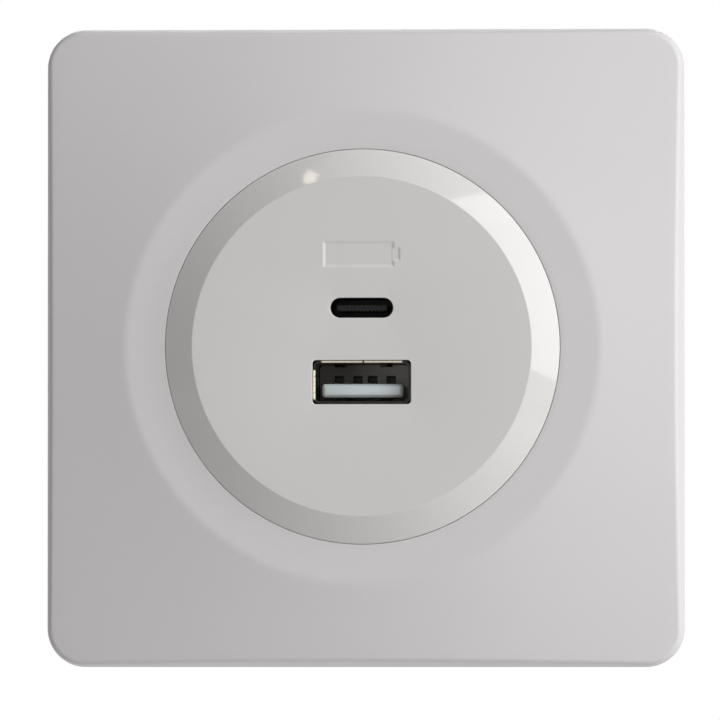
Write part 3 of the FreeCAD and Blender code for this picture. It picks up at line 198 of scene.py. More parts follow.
def cover_surface():
    """Cover frame: one closed profile carried round the socket.

    Going round, each column starts at the foot of a drafted side, passes a rolling-ball
    edge of constant radius into the cone, climbs the cone to a circular arc that blends
    it into the flat dish, drops over the rim of the round hole to the ledge, and comes back
    under the wall at constant thickness to the foot. With the side's draft d, the edge's
    radius r and the cone's slope s across the side, the ball's centre lies inside the foot
    by (foot level + r / sin d - r * root(1 + s * s)) / (1 / tan d - s).
    """
    outline, normal = square_outline(PLATE_HALF, PLATE_CORNER, SIDE_STEPS, CORNER_STEPS)
    radius = np.hypot(*outline.T)
    radial = outline / radius[:, None]
    slope = math.tan(RISE) * (normal * radial).sum(1)
    foot = cone_level(radius, DISH_LEVEL)
    root = np.sqrt(1.0 + slope ** 2)
    inset = (foot + EDGE_ROUND / math.sin(EDGE_DRAFT) - EDGE_ROUND * root) \
        / (1 / math.tan(EDGE_DRAFT) - slope)
    height = (inset * math.cos(EDGE_DRAFT) - EDGE_ROUND) / math.sin(EDGE_DRAFT)
    start = math.pi - EDGE_DRAFT
    end = math.pi / 2 + np.arctan(slope)
    rows = [place(*outline.T, 0.0)]
    for share in np.linspace(0, 1, EDGE_STEPS + 1):
        turn = start + (end - start) * share
        across = inset + EDGE_ROUND * np.cos(turn)
        level = height + EDGE_ROUND * np.sin(turn)
        flat = inset_points(outline, normal, across)
        rows.append(place(*flat.T, level))
    brow, brow_level = flat, level
    # From the brow the cone runs to the start of the blend, straight in plan.
    blend_run = DISH_BLEND * math.tan(RISE / 2)
    blend_out = DISH_RADIUS + blend_run * math.cos(RISE)
    brow_angle = np.arctan2(brow[:, 1], brow[:, 0])
    target = blend_out * np.stack([np.cos(brow_angle), np.sin(brow_angle)], 1)
    lift = brow_level - cone_level(np.hypot(*brow.T), DISH_LEVEL)
    for share in np.linspace(0, 1, CONE_STEPS + 1)[1:]:
        flat = brow + (target - brow) * share
        level = cone_level(np.hypot(*flat.T), DISH_LEVEL) + lift * (1 - share)
        rows.append(place(*flat.T, level))
    centre_r, centre_level = DISH_RADIUS - blend_run, DISH_LEVEL - DISH_BLEND
    blend = [(centre_r + DISH_BLEND * math.sin(a), centre_level + DISH_BLEND * math.cos(a))
             for a in np.linspace(RISE, 0, BLEND_STEPS + 1)[1:]]
    rim = [(HOLE_RADIUS + SEAM_ROUND * (1 - math.sin(a)),
            DISH_LEVEL - SEAM_ROUND * (1 - math.cos(a)))
           for a in np.linspace(0, math.pi / 2, RIM_STEPS + 1)]
    dish = [(r, DISH_LEVEL)
            for r in np.linspace(centre_r, HOLE_RADIUS + SEAM_ROUND, FLAT_STEPS + 1)[1:-1]]
    under = DISH_LEVEL - PLATE_WALL
    inner = [(HOLE_RADIUS, LEDGE_LEVEL), (LEDGE_RADIUS, LEDGE_LEVEL),
             (LEDGE_RADIUS, LEDGE_BOTTOM), (COLLAR_RADIUS, LEDGE_BOTTOM),
             (COLLAR_RADIUS, under), (DISH_RADIUS, under)]
    rows += list(circle_rows(brow_angle, blend + dish + rim + inner))
    # The underside follows the cone to the inner face of the side walls.
    inner_inset = PLATE_WALL
    for _ in range(UNDERSIDE_PASSES):
        flat = inset_points(outline, normal, inner_inset)
        inner_level = cone_level(np.hypot(*flat.T), under)
        inner_inset = PLATE_WALL + inner_level * math.tan(EDGE_DRAFT)
    flat = inset_points(outline, normal, inner_inset)
    rows.append(place(*flat.T, cone_level(np.hypot(*flat.T), under)))
    flat = inset_points(outline, normal, PLATE_WALL)
    rows.append(place(*flat.T, 0.0))
    return np.stack(rows)


def diagonal_prism(shell, outline, width, turn):
    """A prism of (radius, level) points, centred on the vertical plane at turn degrees."""
    radius, level = np.asarray(outline, float).T
    angle = math.radians(turn)
    sides = []
    for across in (-width / 2, width / 2):
        x = radius * math.cos(angle) - across * math.sin(angle)
        z = radius * math.sin(angle) + across * math.cos(angle)
        sides.append(place(x, z, level))
    return shell.prism(*sides)


def cover_moulding():
    """The cover frame with its diagonal ribs and the four feet under its ledge."""
    shell = Shell().grid(cover_surface(), close_rows=True, close_columns=True)
    start, under = COLLAR_RADIUS - PLATE_WALL / 2, DISH_LEVEL - RIB_ROOT * PLATE_WALL
    end = (PLATE_HALF - PLATE_CORNER) * math.sqrt(2) + PLATE_CORNER - PLATE_WALL - EDGE_ROUND
    roof = under - (end - DISH_RADIUS) * math.tan(RISE)
    rib = [(start, LEDGE_BOTTOM), (start, under), (DISH_RADIUS, under), (end, roof),
           (end, roof - RIB_HEIGHT / 2)]
    for turn in DIAGONALS:
        diagonal_prism(shell, rib, RIB_WIDTH, turn)
    reach = (LEDGE_RADIUS + COLLAR_RADIUS - FOOT_THICKNESS) / 2
    for side in (-1, 1):
        for end in (-1, 1):
            x = side * reach * math.cos(FOOT_ANGLE) + FOOT_THICKNESS / 2 * np.array([-1, 1, 1, -1])
            z = end * reach * math.sin(FOOT_ANGLE) + FOOT_WIDTH / 2 * np.array([-1, -1, 1, 1])
            shell.prism(place(x, z, RING_TOP), place(x, z, LEDGE_BOTTOM))
    return shell.make("cover_moulding")


# Centre plate
FACE_LEVEL = 10.2
FACE_RADIUS = 22.8
DISC_RADIUS = 26.5
DISC_WALL = 2.0
BEND_ROUND = 0.35
RIM_ROUND = 0.08
SKIRT_INNER = 17.5
SKIRT_OUTER = 18.9
SKIRT_END = 5.4
LEDGE_PLAY = 0.15
LIP_ROUND = 0.12
SNAP_TIP = 2.7
SNAP_CATCH = 4.1
SNAP_ROOT = 7.7
SNAP_BEVEL = 0.4
SNAP_REACH = 0.8
SNAP_WIDTH = 6.0
DISC_STEPS = 288
LIP_STEPS = 9
BEND_STEPS = 6
USB_A_Z = -4.83
USB_A_HALF = (6.6, 2.95)
USB_A_CORNER = 0.5
USB_C_Z = 5.14
USB_C_HALF = (4.22, 1.34)
USB_C_LIP = 1.1
USB_C_RECESS = (4.62, 1.73)
USB_C_STEPS = 16
SIGN_Z = 12.33
SIGN_HALF = 1.785
SIGN_LEFT = -5.215
SIGN_RIGHT = 4.415
SIGN_DEPTH = 0.14
POLE_RIGHT = 5.215
POLE_HALF = 0.965
POLE_DEPTH = 0.11
SIGN_SLOPE = math.tan(math.radians(70.0))


def arc(centre, radius, start, end, steps):
    """Pairs on a circular arc between two angles in degrees, ends included."""
    turn = np.radians(np.linspace(start, end, steps + 1))
    return [(centre[0] + radius * math.cos(a), centre[1] + radius * math.sin(a)) for a in turn]


def round_loop(half_x, half_z, corner, steps=10, shift=0.0):
    """Points of an upright rectangle with round corners, once round, as (x, z)."""
    points = []
    for sx, sz, start in ((1, 1, 0), (-1, 1, 90), (-1, -1, 180), (1, -1, 270)):
        centre = (sx * (half_x - corner), sz * (half_z - corner) + shift)
        points += arc(centre, corner, start, start + 90, steps)
    return np.array(points)


def lip_rows(half, corner, z, wall_end, steps=10):
    """The wall of an opening: a quarter-round lip at the face, then straight down."""
    rows = []
    for turn in np.linspace(0, math.pi / 2, LIP_STEPS + 1):
        grow = LIP_ROUND * (1 - math.sin(turn))
        loop = round_loop(half[0] + grow, half[1] + grow, corner + grow, steps, z)
        rows.append(place(*loop.T, FACE_LEVEL - LIP_ROUND * (1 - math.cos(turn))))
    loop = round_loop(*half, corner, steps, z)
    rows.append(place(*loop.T, wall_end))
    return np.stack(rows)


def battery_recess(shell):
    """The sunk battery sign: sloping walls, a flat floor and a shallower pole.

    The wall of the body and the wall of the pole are each a ruled surface between the
    outline at the face and the outline at the floor, which lies inside it by the depth
    times the slope. The pole's floor runs on until it meets the body's right wall.
    """
    run, pole_run = SIGN_DEPTH * SIGN_SLOPE, POLE_DEPTH * SIGN_SLOPE
    low = FACE_LEVEL - SIGN_DEPTH
    shelf = FACE_LEVEL - POLE_DEPTH
    inner = SIGN_RIGHT - run
    meet = SIGN_RIGHT - pole_run
    end = POLE_RIGHT - pole_run
    notch = POLE_HALF - pole_run

    def at(points, level):
        x, z = np.array(points).T
        return place(x, z + SIGN_Z, level)

    face = [(SIGN_RIGHT, SIGN_HALF), (SIGN_LEFT, SIGN_HALF),
            (SIGN_LEFT, -SIGN_HALF), (SIGN_RIGHT, -SIGN_HALF)]
    floor = [(inner, SIGN_HALF - run), (SIGN_LEFT + run, SIGN_HALF - run),
             (SIGN_LEFT + run, run - SIGN_HALF), (inner, run - SIGN_HALF)]
    for i in range(3):
        shell.flat(np.vstack([at(face[i:i + 2], FACE_LEVEL), at(floor[i:i + 2][::-1], low)]))
    shell.flat(at(floor, low))
    # The body's right wall is cut down to the pole's floor between the two upper parts.
    falling = [FACE_LEVEL, FACE_LEVEL, shelf, shelf]
    shell.flat(at([(SIGN_RIGHT, SIGN_HALF), (SIGN_RIGHT, POLE_HALF), (meet, notch),
                   (meet, -notch), (SIGN_RIGHT, -POLE_HALF), (SIGN_RIGHT, -SIGN_HALF),
                   (inner, run - SIGN_HALF), (inner, SIGN_HALF - run)],
                  falling + [FACE_LEVEL, FACE_LEVEL, low, low]))
    shell.flat(at([(meet, notch), (end, notch), (end, -notch), (meet, -notch)], shelf))
    for side in (-1, 1):
        shell.flat(at([(SIGN_RIGHT, side * POLE_HALF), (POLE_RIGHT, side * POLE_HALF),
                       (end, side * notch), (meet, side * notch)], falling))
    shell.flat(at([(POLE_RIGHT, POLE_HALF), (POLE_RIGHT, -POLE_HALF), (end, -notch),
                   (end, notch)], falling))


def centre_moulding():
    """The round centre plate with its bevelled rim, openings, sign, skirt and snap tongues.

    A profile turned about the axis gives the rim, with a small arc where the flat face bends
    into the bevel and another at the outer edge. The face and the ceiling are filled flat
    round the openings.
    """
    inner = FACE_LEVEL - DISC_WALL
    fall = math.degrees(math.atan2(FACE_LEVEL - DISH_LEVEL, DISC_RADIUS - FACE_RADIUS))
    slope = math.tan(math.radians(fall))
    half = math.radians(fall / 2)
    bend = arc((FACE_RADIUS - BEND_ROUND * math.tan(half), FACE_LEVEL - BEND_ROUND),
               BEND_ROUND, 90, 90 - fall, BEND_STEPS)
    back = RIM_ROUND * math.tan(math.radians((90 - fall) / 2))
    rim_level = DISH_LEVEL - back
    rim = arc((DISC_RADIUS - RIM_ROUND, rim_level), RIM_ROUND, 90 - fall, 0, BEND_STEPS)
    ledge_inner = LEDGE_RADIUS + LEDGE_PLAY
    ceiling_bend = FACE_RADIUS - DISC_WALL / 2
    roof = inner - (ledge_inner - ceiling_bend) * slope
    profile = bend + rim + [
        (DISC_RADIUS, LEDGE_LEVEL), (ledge_inner, LEDGE_LEVEL), (ledge_inner, roof),
        (ceiling_bend, inner), (SKIRT_OUTER, inner), (SKIRT_OUTER, SKIRT_END),
        (SKIRT_INNER, SKIRT_END), (SKIRT_INNER, inner)]
    angles = np.arange(DISC_STEPS) * math.tau / DISC_STEPS
    shell = Shell().grid(circle_rows(angles, profile), close_columns=True)
    shell.grid(lip_rows(USB_A_HALF, USB_A_CORNER, USB_A_Z, inner), close_columns=True)
    mouth = lip_rows(USB_C_HALF, USB_C_HALF[1], USB_C_Z, FACE_LEVEL - USB_C_LIP, USB_C_STEPS)
    wide = round_loop(*USB_C_RECESS, USB_C_RECESS[1], USB_C_STEPS, USB_C_Z)
    recess = [place(*wide.T, level) for level in (FACE_LEVEL - USB_C_LIP, inner)]
    shell.grid(np.concatenate([mouth, np.stack(recess)]), close_columns=True)
    battery_recess(shell)
    snap = [(SKIRT_INNER + SNAP_BEVEL, SNAP_TIP), (SKIRT_OUTER, SNAP_TIP),
            (SKIRT_OUTER, SNAP_ROOT), (SKIRT_INNER, SNAP_ROOT), (SKIRT_INNER, SNAP_CATCH),
            (SKIRT_INNER - SNAP_REACH, SNAP_CATCH)]
    for turn in DIAGONALS:
        diagonal_prism(shell, snap, SNAP_WIDTH, turn)
    return shell.make("centre_moulding", crease=12, fills=(FACE_LEVEL, inner))


# USB-A port
TUBE_FRONT = 9.65
USB_A_DEPTH = (-4.2, 0.8)
USB_A_BASE = (6.145, 2.495)
USB_A_BASE_CORNER = 0.6
TONGUE_Z = USB_A_Z - 1.1
TONGUE_HALF = (5.45, 0.92)
TONGUE_CORNER = 0.42
TONGUE_END = 7.75
NOSE_BEVEL = 0.4
NOSE_LEAD = 0.1
NOSE_POWER = 1.25
NOSE_FLAT = 1.15
PORT_STEPS = 8
WINDOW_HALF = (0.65, 0.6)
WINDOW_CORNER = 0.08
WINDOW_GAP = 0.04
WINDOW_DEPTH = 3.0
CONTACT_X = (-3.5, -1.0, 1.0, 3.5)
CONTACT_HALF = 0.5
LEAF_GAP = 0.1
LEAF_START = 1.2
LEAF_LENGTH = 5.0
LEAF_RISE = 0.1
LEAF_FALL = 0.34
LEAF_THICKNESS = 0.16


def usb_a_moulding():
    """The port's moulding: a base with four deep windows and the tongue with its soft nose.

    The tongue is a rounded rectangle carried outwards. At the nose its inset grows with
    the power NOSE_POWER of the share of the bevel's depth that is passed.
    """
    back, front = USB_A_DEPTH
    loop = round_loop(*USB_A_BASE, USB_A_BASE_CORNER, PORT_STEPS, USB_A_Z)
    base = np.stack([place(*loop.T, level) for level in (back, front)])
    shell = Shell().grid(base, close_columns=True).flat(base[0])
    rows = []
    stations = [(front, 0.0), (TONGUE_END - NOSE_BEVEL - NOSE_LEAD, 0.0)]
    stations += [(TONGUE_END - NOSE_BEVEL * share, NOSE_BEVEL * (1 - share) ** NOSE_POWER)
                 for share in (0.8, 0.5, 0.2, 0.05)]
    stations += [(TONGUE_END, NOSE_BEVEL * NOSE_FLAT)]
    for level, inset in stations:
        inset = min(inset, TONGUE_CORNER - 0.01)
        nose = round_loop(TONGUE_HALF[0] - inset, TONGUE_HALF[1] - inset,
                          TONGUE_CORNER - inset, PORT_STEPS, TONGUE_Z)
        rows.append(place(*nose.T, level))
    shell.grid(np.stack(rows), close_columns=True).flat(rows[-1])
    low = TONGUE_Z + TONGUE_HALF[1] + WINDOW_GAP
    for x in CONTACT_X:
        window = round_loop(*WINDOW_HALF, WINDOW_CORNER, 2, low + WINDOW_HALF[1])
        walls = [place(window[:, 0] + x, window[:, 1], level)
                 for level in (front, front - WINDOW_DEPTH)]
        shell.grid(np.stack(walls), close_columns=True).flat(walls[-1])
    return shell.make("usb_a_moulding", fills=(front,))


def ribbon(shell, path, half_width, thickness, x):
    """A flat strip bent along a path of (level, z) points, square in section."""
    level, z = np.asarray(path, float).T
    along = np.stack([np.gradient(level), np.gradient(z)], 1)
    along /= np.linalg.norm(along, axis=1)[:, None]
    rise = np.stack([-along[:, 1], along[:, 0]], 1) * thickness / 2
    rows = [place(x + side * half_width, z + up * rise[:, 1], level + up * rise[:, 0])
            for side, up in ((-1, -1), (1, -1), (1, 1), (-1, 1))]
    strip = np.stack(rows, axis=1)
    return shell.grid(strip, close_columns=True).flat(strip[0]).flat(strip[-1])


def usb_a_springs():
    """Four leaf contacts: straight in the base, then bent over the tongue.

    The bend is half a sine wave, less a cube that brings the tip down to the tongue.
    """
    lift = TONGUE_Z + TONGUE_HALF[1] + LEAF_GAP
    bend = [(LEAF_START + LEAF_LENGTH * t,
             lift + LEAF_RISE * math.sin(math.pi * t) - LEAF_FALL * t ** 3)
            for t in np.linspace(0, 1, 25)]
    path = [(USB_A_DEPTH[0], lift), (0.0, lift)] + bend
    shell = Shell()
    for x in CONTACT_X:
        ribbon(shell, path, CONTACT_HALF, LEAF_THICKNESS, x)
    return shell.make("usb_a_springs")


# Screws
HEAD_BEVEL = 0.18
SLOT_HALF = 0.4
SLOT_DEPTH = 0.9
THREAD_DEPTH = 0.61
THREAD_STEPS = 36
NECK = 0.94
TIP = 0.8
TIP_SLOPE = 1.2
HEAD_OVERLAP = 0.3
COIL_STEPS = 32
WIRE_SIDES = 8
CLAW_SCREW = dict(tip=-19.8, seat=1.2, top=3.0, radius=1.5, head_radius=2.6, pitch=0.5)
TERMINAL_SCREW = dict(tip=-17.9, seat=-24.4, top=-26.4, radius=1.5, head_radius=2.3, pitch=0.5)
CASE_SCREW = dict(tip=0.0, seat=-25.8, top=-27.4, radius=1.15, head_radius=2.1, pitch=0.45)
CHOKE_WIRE = dict(x=-3.2, z=-5.6, radius=2.25, wire=0.24, start=-15.9, end=-10.8, pitch=0.5)
SCREWS = {
    "left_claw_screw": ([(-22.5, 0.0)], CLAW_SCREW),
    "right_claw_screw": ([(22.5, 0.0)], CLAW_SCREW),
    "line_screw": ([(-5.0, -16.5)], TERMINAL_SCREW),
    "neutral_screw": ([(5.0, -16.5)], TERMINAL_SCREW),
    "case_screws": ([(-13.2, -17.7), (13.2, 17.7)], CASE_SCREW),
}


def add_screw(shell, x, z, tip, seat, top, radius, head_radius, pitch):
    """A slotted screw square to the wall, with its thread. Tip, seat and top are levels.

    The thread is one pitch of a flat-topped profile carried along a helix: the point at the
    angle a and the share s of the pitch lies at the length (a / turn - 1 + s) * pitch. Its
    radius runs between the core and the full radius, starts from a bevelled tip and settles
    to a plain neck that ends inside the head. NECK is a share of the full radius, TIP a
    share of the core and THREAD_DEPTH a share of the pitch.
    """
    sign = 1 if top > seat else -1
    length = abs(seat - tip) + HEAD_OVERLAP
    core = radius - THREAD_DEPTH * pitch
    steps = (math.ceil(length / pitch) + 1) * THREAD_STEPS
    angle = np.arange(steps + 1) / THREAD_STEPS * math.tau
    across = np.array([0.0, 0.1, 0.42, 0.54, 0.86, 1.0])
    crest = np.array([0.0, 0.0, 1.0, 1.0, 0.0, 0.0])
    along = np.clip((angle[:, None] / math.tau - 1 + across) * pitch, 0, length)
    thread = core + (radius - core) * crest
    neck = np.clip((along - (length - 2 * pitch)) / pitch, 0, 1)
    reach = thread + (NECK * radius - thread) * neck
    reach = np.minimum(reach, TIP * core + TIP_SLOPE * along)
    turned = sign * angle[:, None]
    shell.grid(place(x + reach * np.cos(turned), z + reach * np.sin(turned), tip + sign * along))
    turn = np.arange(THREAD_STEPS) / THREAD_STEPS * math.tau
    for end, at in ((TIP * core, 0.0), (NECK * radius, length)):
        shell.flat(place(x + end * np.cos(turn), z + end * np.sin(turn), tip + sign * at))
    slotted_head(shell, x, z, seat, top, head_radius, sign)


def slotted_head(shell, x, z, seat, top, radius, sign):
    """A cheese head: a half cap with bevelled edges on each side of an upright slot.

    Every arc ends where its circle meets the side of the slot, at the angle whose sine is
    the slot's half width over the radius. Below the slot two strips join the halves.
    """
    small = radius - HEAD_BEVEL
    rows = [(small, seat), (radius, seat + sign * HEAD_BEVEL), (radius, top - sign * SLOT_DEPTH),
            (radius, top - sign * HEAD_BEVEL), (small, top)]
    halves = []
    for side in (1, -1):
        arcs = []
        for reach, level in rows:
            gap = math.asin(SLOT_HALF / reach)
            sweep = np.linspace(gap - math.pi / 2, math.pi / 2 - gap, 25)
            arcs.append(place(x + side * reach * np.cos(sweep),
                              z + side * reach * np.sin(sweep), level))
        half = np.stack(arcs)
        shell.grid(half).flat(half[-1])
        shell.flat(np.concatenate([half[2:, 0], half[2:, -1][::-1]]))
        halves.append(half)
    right, left = halves
    shell.grid(np.stack([right[:3, 0], left[:3, -1]], axis=1))
    shell.grid(np.stack([right[:3, -1], left[:3, 0]], axis=1))
    shell.flat(np.stack([right[2, 0], right[2, -1], left[2, 0], left[2, -1]]))
    shell.flat(np.concatenate([right[0], left[0]]))


def turned_screw(name, places, sizes):
    """One piece with a like screw at each (x, z) place."""
    shell = Shell()
    for x, z in places:
        add_screw(shell, x, z, **sizes)
    return shell.make(name + "_turned")


def wire_coil(name, x, z, radius, wire, start, end, pitch):
    """A round wire wound on a cylinder: a circle carried along a helix."""
    turns = (end - start - 2 * wire) / pitch
    angle = np.linspace(0, turns * math.tau, int(turns * COIL_STEPS) + 1)[:, None]
    section = (np.arange(WIRE_SIDES) / WIRE_SIDES * math.tau)[None, :]
    reach = radius + wire * np.cos(section)
    level = start + wire + angle / math.tau * pitch + wire * np.sin(section)
    points = place(x + reach * np.cos(angle), z + reach * np.sin(angle), level)
    shell = Shell().grid(points, close_columns=True).flat(points[0]).flat(points[-1])
    return shell.make(name, crease=60)


# Materials
class Tree:
    """Short calls to add nodes to a tree and join them."""

    def __init__(self, tree):
        self.tree = tree

    def add(self, kind, inputs=None, **settings):
        node = self.tree.nodes.new("ShaderNode" + kind)
        for name, value in settings.items():
            setattr(node, name, value)
        for name, value in (inputs or {}).items():
            self.join(value, node.inputs[name])
        return node

    def join(self, value, socket):
        if isinstance(value, bpy.types.NodeSocket):
            self.tree.links.new(value, socket)
        else:
            socket.default_value = value

    def noise(self, vector, scale, detail=3.0, roughness=0.5):
        node = self.add("TexNoise", {"Vector": vector, "Scale": scale, "Detail": detail,
                                     "Roughness": roughness})
        return node.outputs["Fac"]

    def span(self, value, low, high, to_low=0.0, to_high=1.0):
        node = self.add("MapRange", {"Value": value, "From Min": low, "From Max": high,
                                     "To Min": to_low, "To Max": to_high})
        return node.outputs["Result"]

    def sums(self, operation, first, second=0.0):
        node = self.add("Math", operation=operation)
        self.join(first, node.inputs[0])
        self.join(second, node.inputs[1])
        return node.outputs[0]

    def plus(self, first, second):
        return self.sums("ADD", first, second)

    def minus(self, first, second):
        return self.sums("SUBTRACT", first, second)

    def times(self, first, second):
        return self.sums("MULTIPLY", first, second)

    def size(self, value):
        return self.sums("ABSOLUTE", value)

    def blend(self, share, first, second):
        node = self.add("Mix", data_type="RGBA")
        self.join(share, node.inputs["Factor"])
        for value, socket in ((first, node.inputs[6]), (second, node.inputs[7])):
            self.join((*value, 1.0) if isinstance(value, tuple) else value, socket)
        return node.outputs[2]

    def bump(self, height, distance, normal=None, strength=1.0):
        node = self.add("Bump", {"Strength": strength, "Distance": distance, "Height": height})
        if normal is not None:
            self.join(normal, node.inputs["Normal"])
        return node.outputs["Normal"]

    def place(self):
        return self.add("TexCoord").outputs["Object"]

    def stretch(self, vector, scale, turn=(0.0, 0.0, 0.0)):
        node = self.add("Mapping", {"Vector": vector, "Scale": scale, "Rotation": turn})
        return node.outputs["Vector"]


def effect(name, inputs, outputs):
    """An empty node group with named inputs and outputs."""
    group = bpy.data.node_groups.new(name, "ShaderNodeTree")
    for label, kind, value in inputs:
        socket = group.interface.new_socket(label, in_out="INPUT", socket_type="NodeSocket" + kind)
        socket.default_value = value
    for label, kind in outputs:
        group.interface.new_socket(label, in_out="OUTPUT", socket_type="NodeSocket" + kind)
    tree = Tree(group)
    start, end = group.nodes.new("NodeGroupInput"), group.nodes.new("NodeGroupOutput")
    return group, tree, start.outputs, end.inputs


def moulded_skin():
    """Moulded plastic: fine spark-eroded grain, slow changes of gloss and a faint mottle."""
    group, tree, given, out = effect(
        "moulded skin",
        [("Grain", "Float", 3000.0), ("Depth", "Float", 2e-6), ("Low", "Float", 0.3),
         ("High", "Float", 0.4)],
        [("Roughness", "Float"), ("Tone", "Float"), ("Normal", "Vector")])
    spot = tree.place()
    grain = tree.noise(spot, given["Grain"], 4.0, 0.6)
    flow = tree.noise(spot, 120.0, 3.0, 0.55)
    broad = tree.noise(spot, 28.0, 2.0, 0.5)
    swell = tree.bump(flow, 1.5e-5, strength=0.35)
    tree.join(tree.bump(grain, given["Depth"], swell), out["Normal"])
    gloss = tree.plus(tree.times(flow, 0.7), tree.times(grain, 0.3))
    share = tree.span(gloss, 0.3, 0.7)
    width = tree.minus(given["High"], given["Low"])
    tree.join(tree.plus(given["Low"], tree.times(share, width)), out["Roughness"])
    tone = tree.plus(tree.times(broad, 0.6), tree.times(grain, 0.4))
    tree.join(tree.span(tone, 0.35, 0.65), out["Tone"])
    return group


def hairlines():
    """Fine scratches from handling: noise drawn out along two crossing directions."""
    group, tree, given, out = effect(
        "hairlines", [("Amount", "Float", 0.5)], [("Mask", "Float")])
    spot = tree.place()
    masks = []
    for turn, low in (((0.0, 0.5, 0.0), 0.66), ((0.0, -0.9, 0.3), 0.69)):
        drawn = tree.stretch(spot, (9000.0, 900.0, 160.0), turn)
        masks.append(tree.span(tree.noise(drawn, 1.0, 2.0, 0.4), low, low + 0.07))
    both = tree.sums("MAXIMUM", *masks)
    tree.join(tree.times(both, given["Amount"]), out["Mask"])
    return group


def rolled_metal():
    """Plated sheet or turned stock: lines along one axis, cloudy plating and small pits."""
    group, tree, given, out = effect(
        "rolled metal",
        [("Lines", "Vector", (6000.0, 6000.0, 300.0)), ("Depth", "Float", 1.5e-6),
         ("Low", "Float", 0.2), ("High", "Float", 0.45)],
        [("Roughness", "Float"), ("Tone", "Float"), ("Normal", "Vector")])
    spot = tree.place()
    drawn = tree.add("VectorMath", {0: spot, 1: given["Lines"]}, operation="MULTIPLY")
    lines = tree.noise(drawn.outputs[0], 1.0, 3.0, 0.55)
    cloud = tree.noise(spot, 260.0, 4.0, 0.6)
    pits = tree.span(tree.noise(spot, 2600.0, 2.0, 0.5), 0.62, 0.72)
    height = tree.minus(lines, tree.times(pits, 0.6))
    tree.join(tree.bump(height, given["Depth"]), out["Normal"])
    worn = tree.span(tree.plus(tree.times(lines, 0.45), tree.times(cloud, 0.55)), 0.32, 0.68)
    width = tree.minus(given["High"], given["Low"])
    tree.join(tree.plus(given["Low"], tree.times(worn, width)), out["Roughness"])
    tree.join(tree.times(worn, tree.span(pits, 1.0, 0.0, 0.55, 1.0)), out["Tone"])
    return group


SKIN, HAIRLINES, METAL = moulded_skin(), hairlines(), rolled_metal()


def start_material(name, metallic=0.0, coat=0.0, specular=0.5):
    """A material with an empty Principled shader and its tree."""
    material = bpy.data.materials.new(name)
    material.use_nodes = True
    shader = material.node_tree.nodes["Principled BSDF"]
    for label, value in (("Metallic", metallic), ("Coat Weight", coat),
                         ("Coat Roughness", 0.06), ("Specular IOR Level", specular)):
        shader.inputs[label].default_value = value
    return material, Tree(material.node_tree), shader.inputs


def use(tree, group, **inputs):
    """An effect's outputs inside a material."""
    node = tree.add("Group", node_tree=group)
    for name, value in inputs.items():
        tree.join(value, node.inputs[name])
    return node.outputs


def plastic(name, colour, shade, grain=3000.0, depth=2e-6, rough=(0.3, 0.4), scratches=0.0,
            specular=0.5):
    """Moulded plastic between two near tones, with optional handling marks."""
    material, tree, shader = start_material(name, specular=specular)
    skin = use(tree, SKIN, Grain=grain, Depth=depth, Low=rough[0], High=rough[1])
    rubbed = use(tree, HAIRLINES, Amount=scratches)["Mask"]
    tone = tree.blend(skin["Tone"], shade, colour)
    tree.join(tone, shader["Base Color"])
    tree.join(tree.plus(skin["Roughness"], tree.times(rubbed, 0.25)), shader["Roughness"])
    tree.join(tree.bump(rubbed, -1e-6, skin["Normal"]), shader["Normal"])
    return material


def metal(name, colour, shade, lines=(6000.0, 6000.0, 300.0), depth=1.5e-6, rough=(0.2, 0.45),
          scratches=0.3):
    """Plated or bare metal between a bright tone and a tarnished one."""
    material, tree, shader = start_material(name, metallic=1.0)
    surface = use(tree, METAL, Lines=lines, Depth=depth, Low=rough[0], High=rough[1])
    rubbed = use(tree, HAIRLINES, Amount=scratches)["Mask"]
    tone = tree.blend(surface["Tone"], shade, colour)
    tree.join(tree.blend(rubbed, tone, tuple(min(1.0, c * 1.25) for c in colour)),
              shader["Base Color"])
    tree.join(surface["Roughness"], shader["Roughness"])
    tree.join(tree.bump(rubbed, -8e-7, surface["Normal"]), shader["Normal"])
    return material


def split(tree, vector):
    """The X, Y and Z parts of a vector."""
    return tree.add("SeparateXYZ", {"Vector": vector}).outputs


def port_moulding():
    """Bluish white tongue; painted shade on the base, paler to the right, darkest in windows."""
    material, tree, shader = start_material("bluish port moulding")
    skin = use(tree, SKIN, Grain=4200.0, Depth=1.5e-6, Low=0.34, High=0.46)
    axes = split(tree, tree.place())
    front = tree.blend(skin["Tone"], (0.70, 0.78, 0.80), (0.76, 0.84, 0.86))
    # Painted light and shade: the deep base runs from dark at the left to pale at the right.
    right = tree.span(axes["X"], -2.0 * MM, 5.0 * MM)
    base = tree.blend(right, (0.05, 0.045, 0.04), (0.75, 0.74, 0.73))
    # Painted shade: the deep parts of the windows are painted near black.
    window = tree.span(axes["Y"], -0.7 * MM, -0.4 * MM)
    base = tree.blend(window, base, (0.03, 0.028, 0.027))
    # Painted shade: with depth the moulding turns from the tongue's colour to the painted base.
    deep = tree.span(axes["Y"], -5.6 * MM, -1.2 * MM)
    tree.join(tree.blend(deep, front, base), shader["Base Color"])
    tree.join(skin["Roughness"], shader["Roughness"])
    tree.join(skin["Normal"], shader["Normal"])
    return material


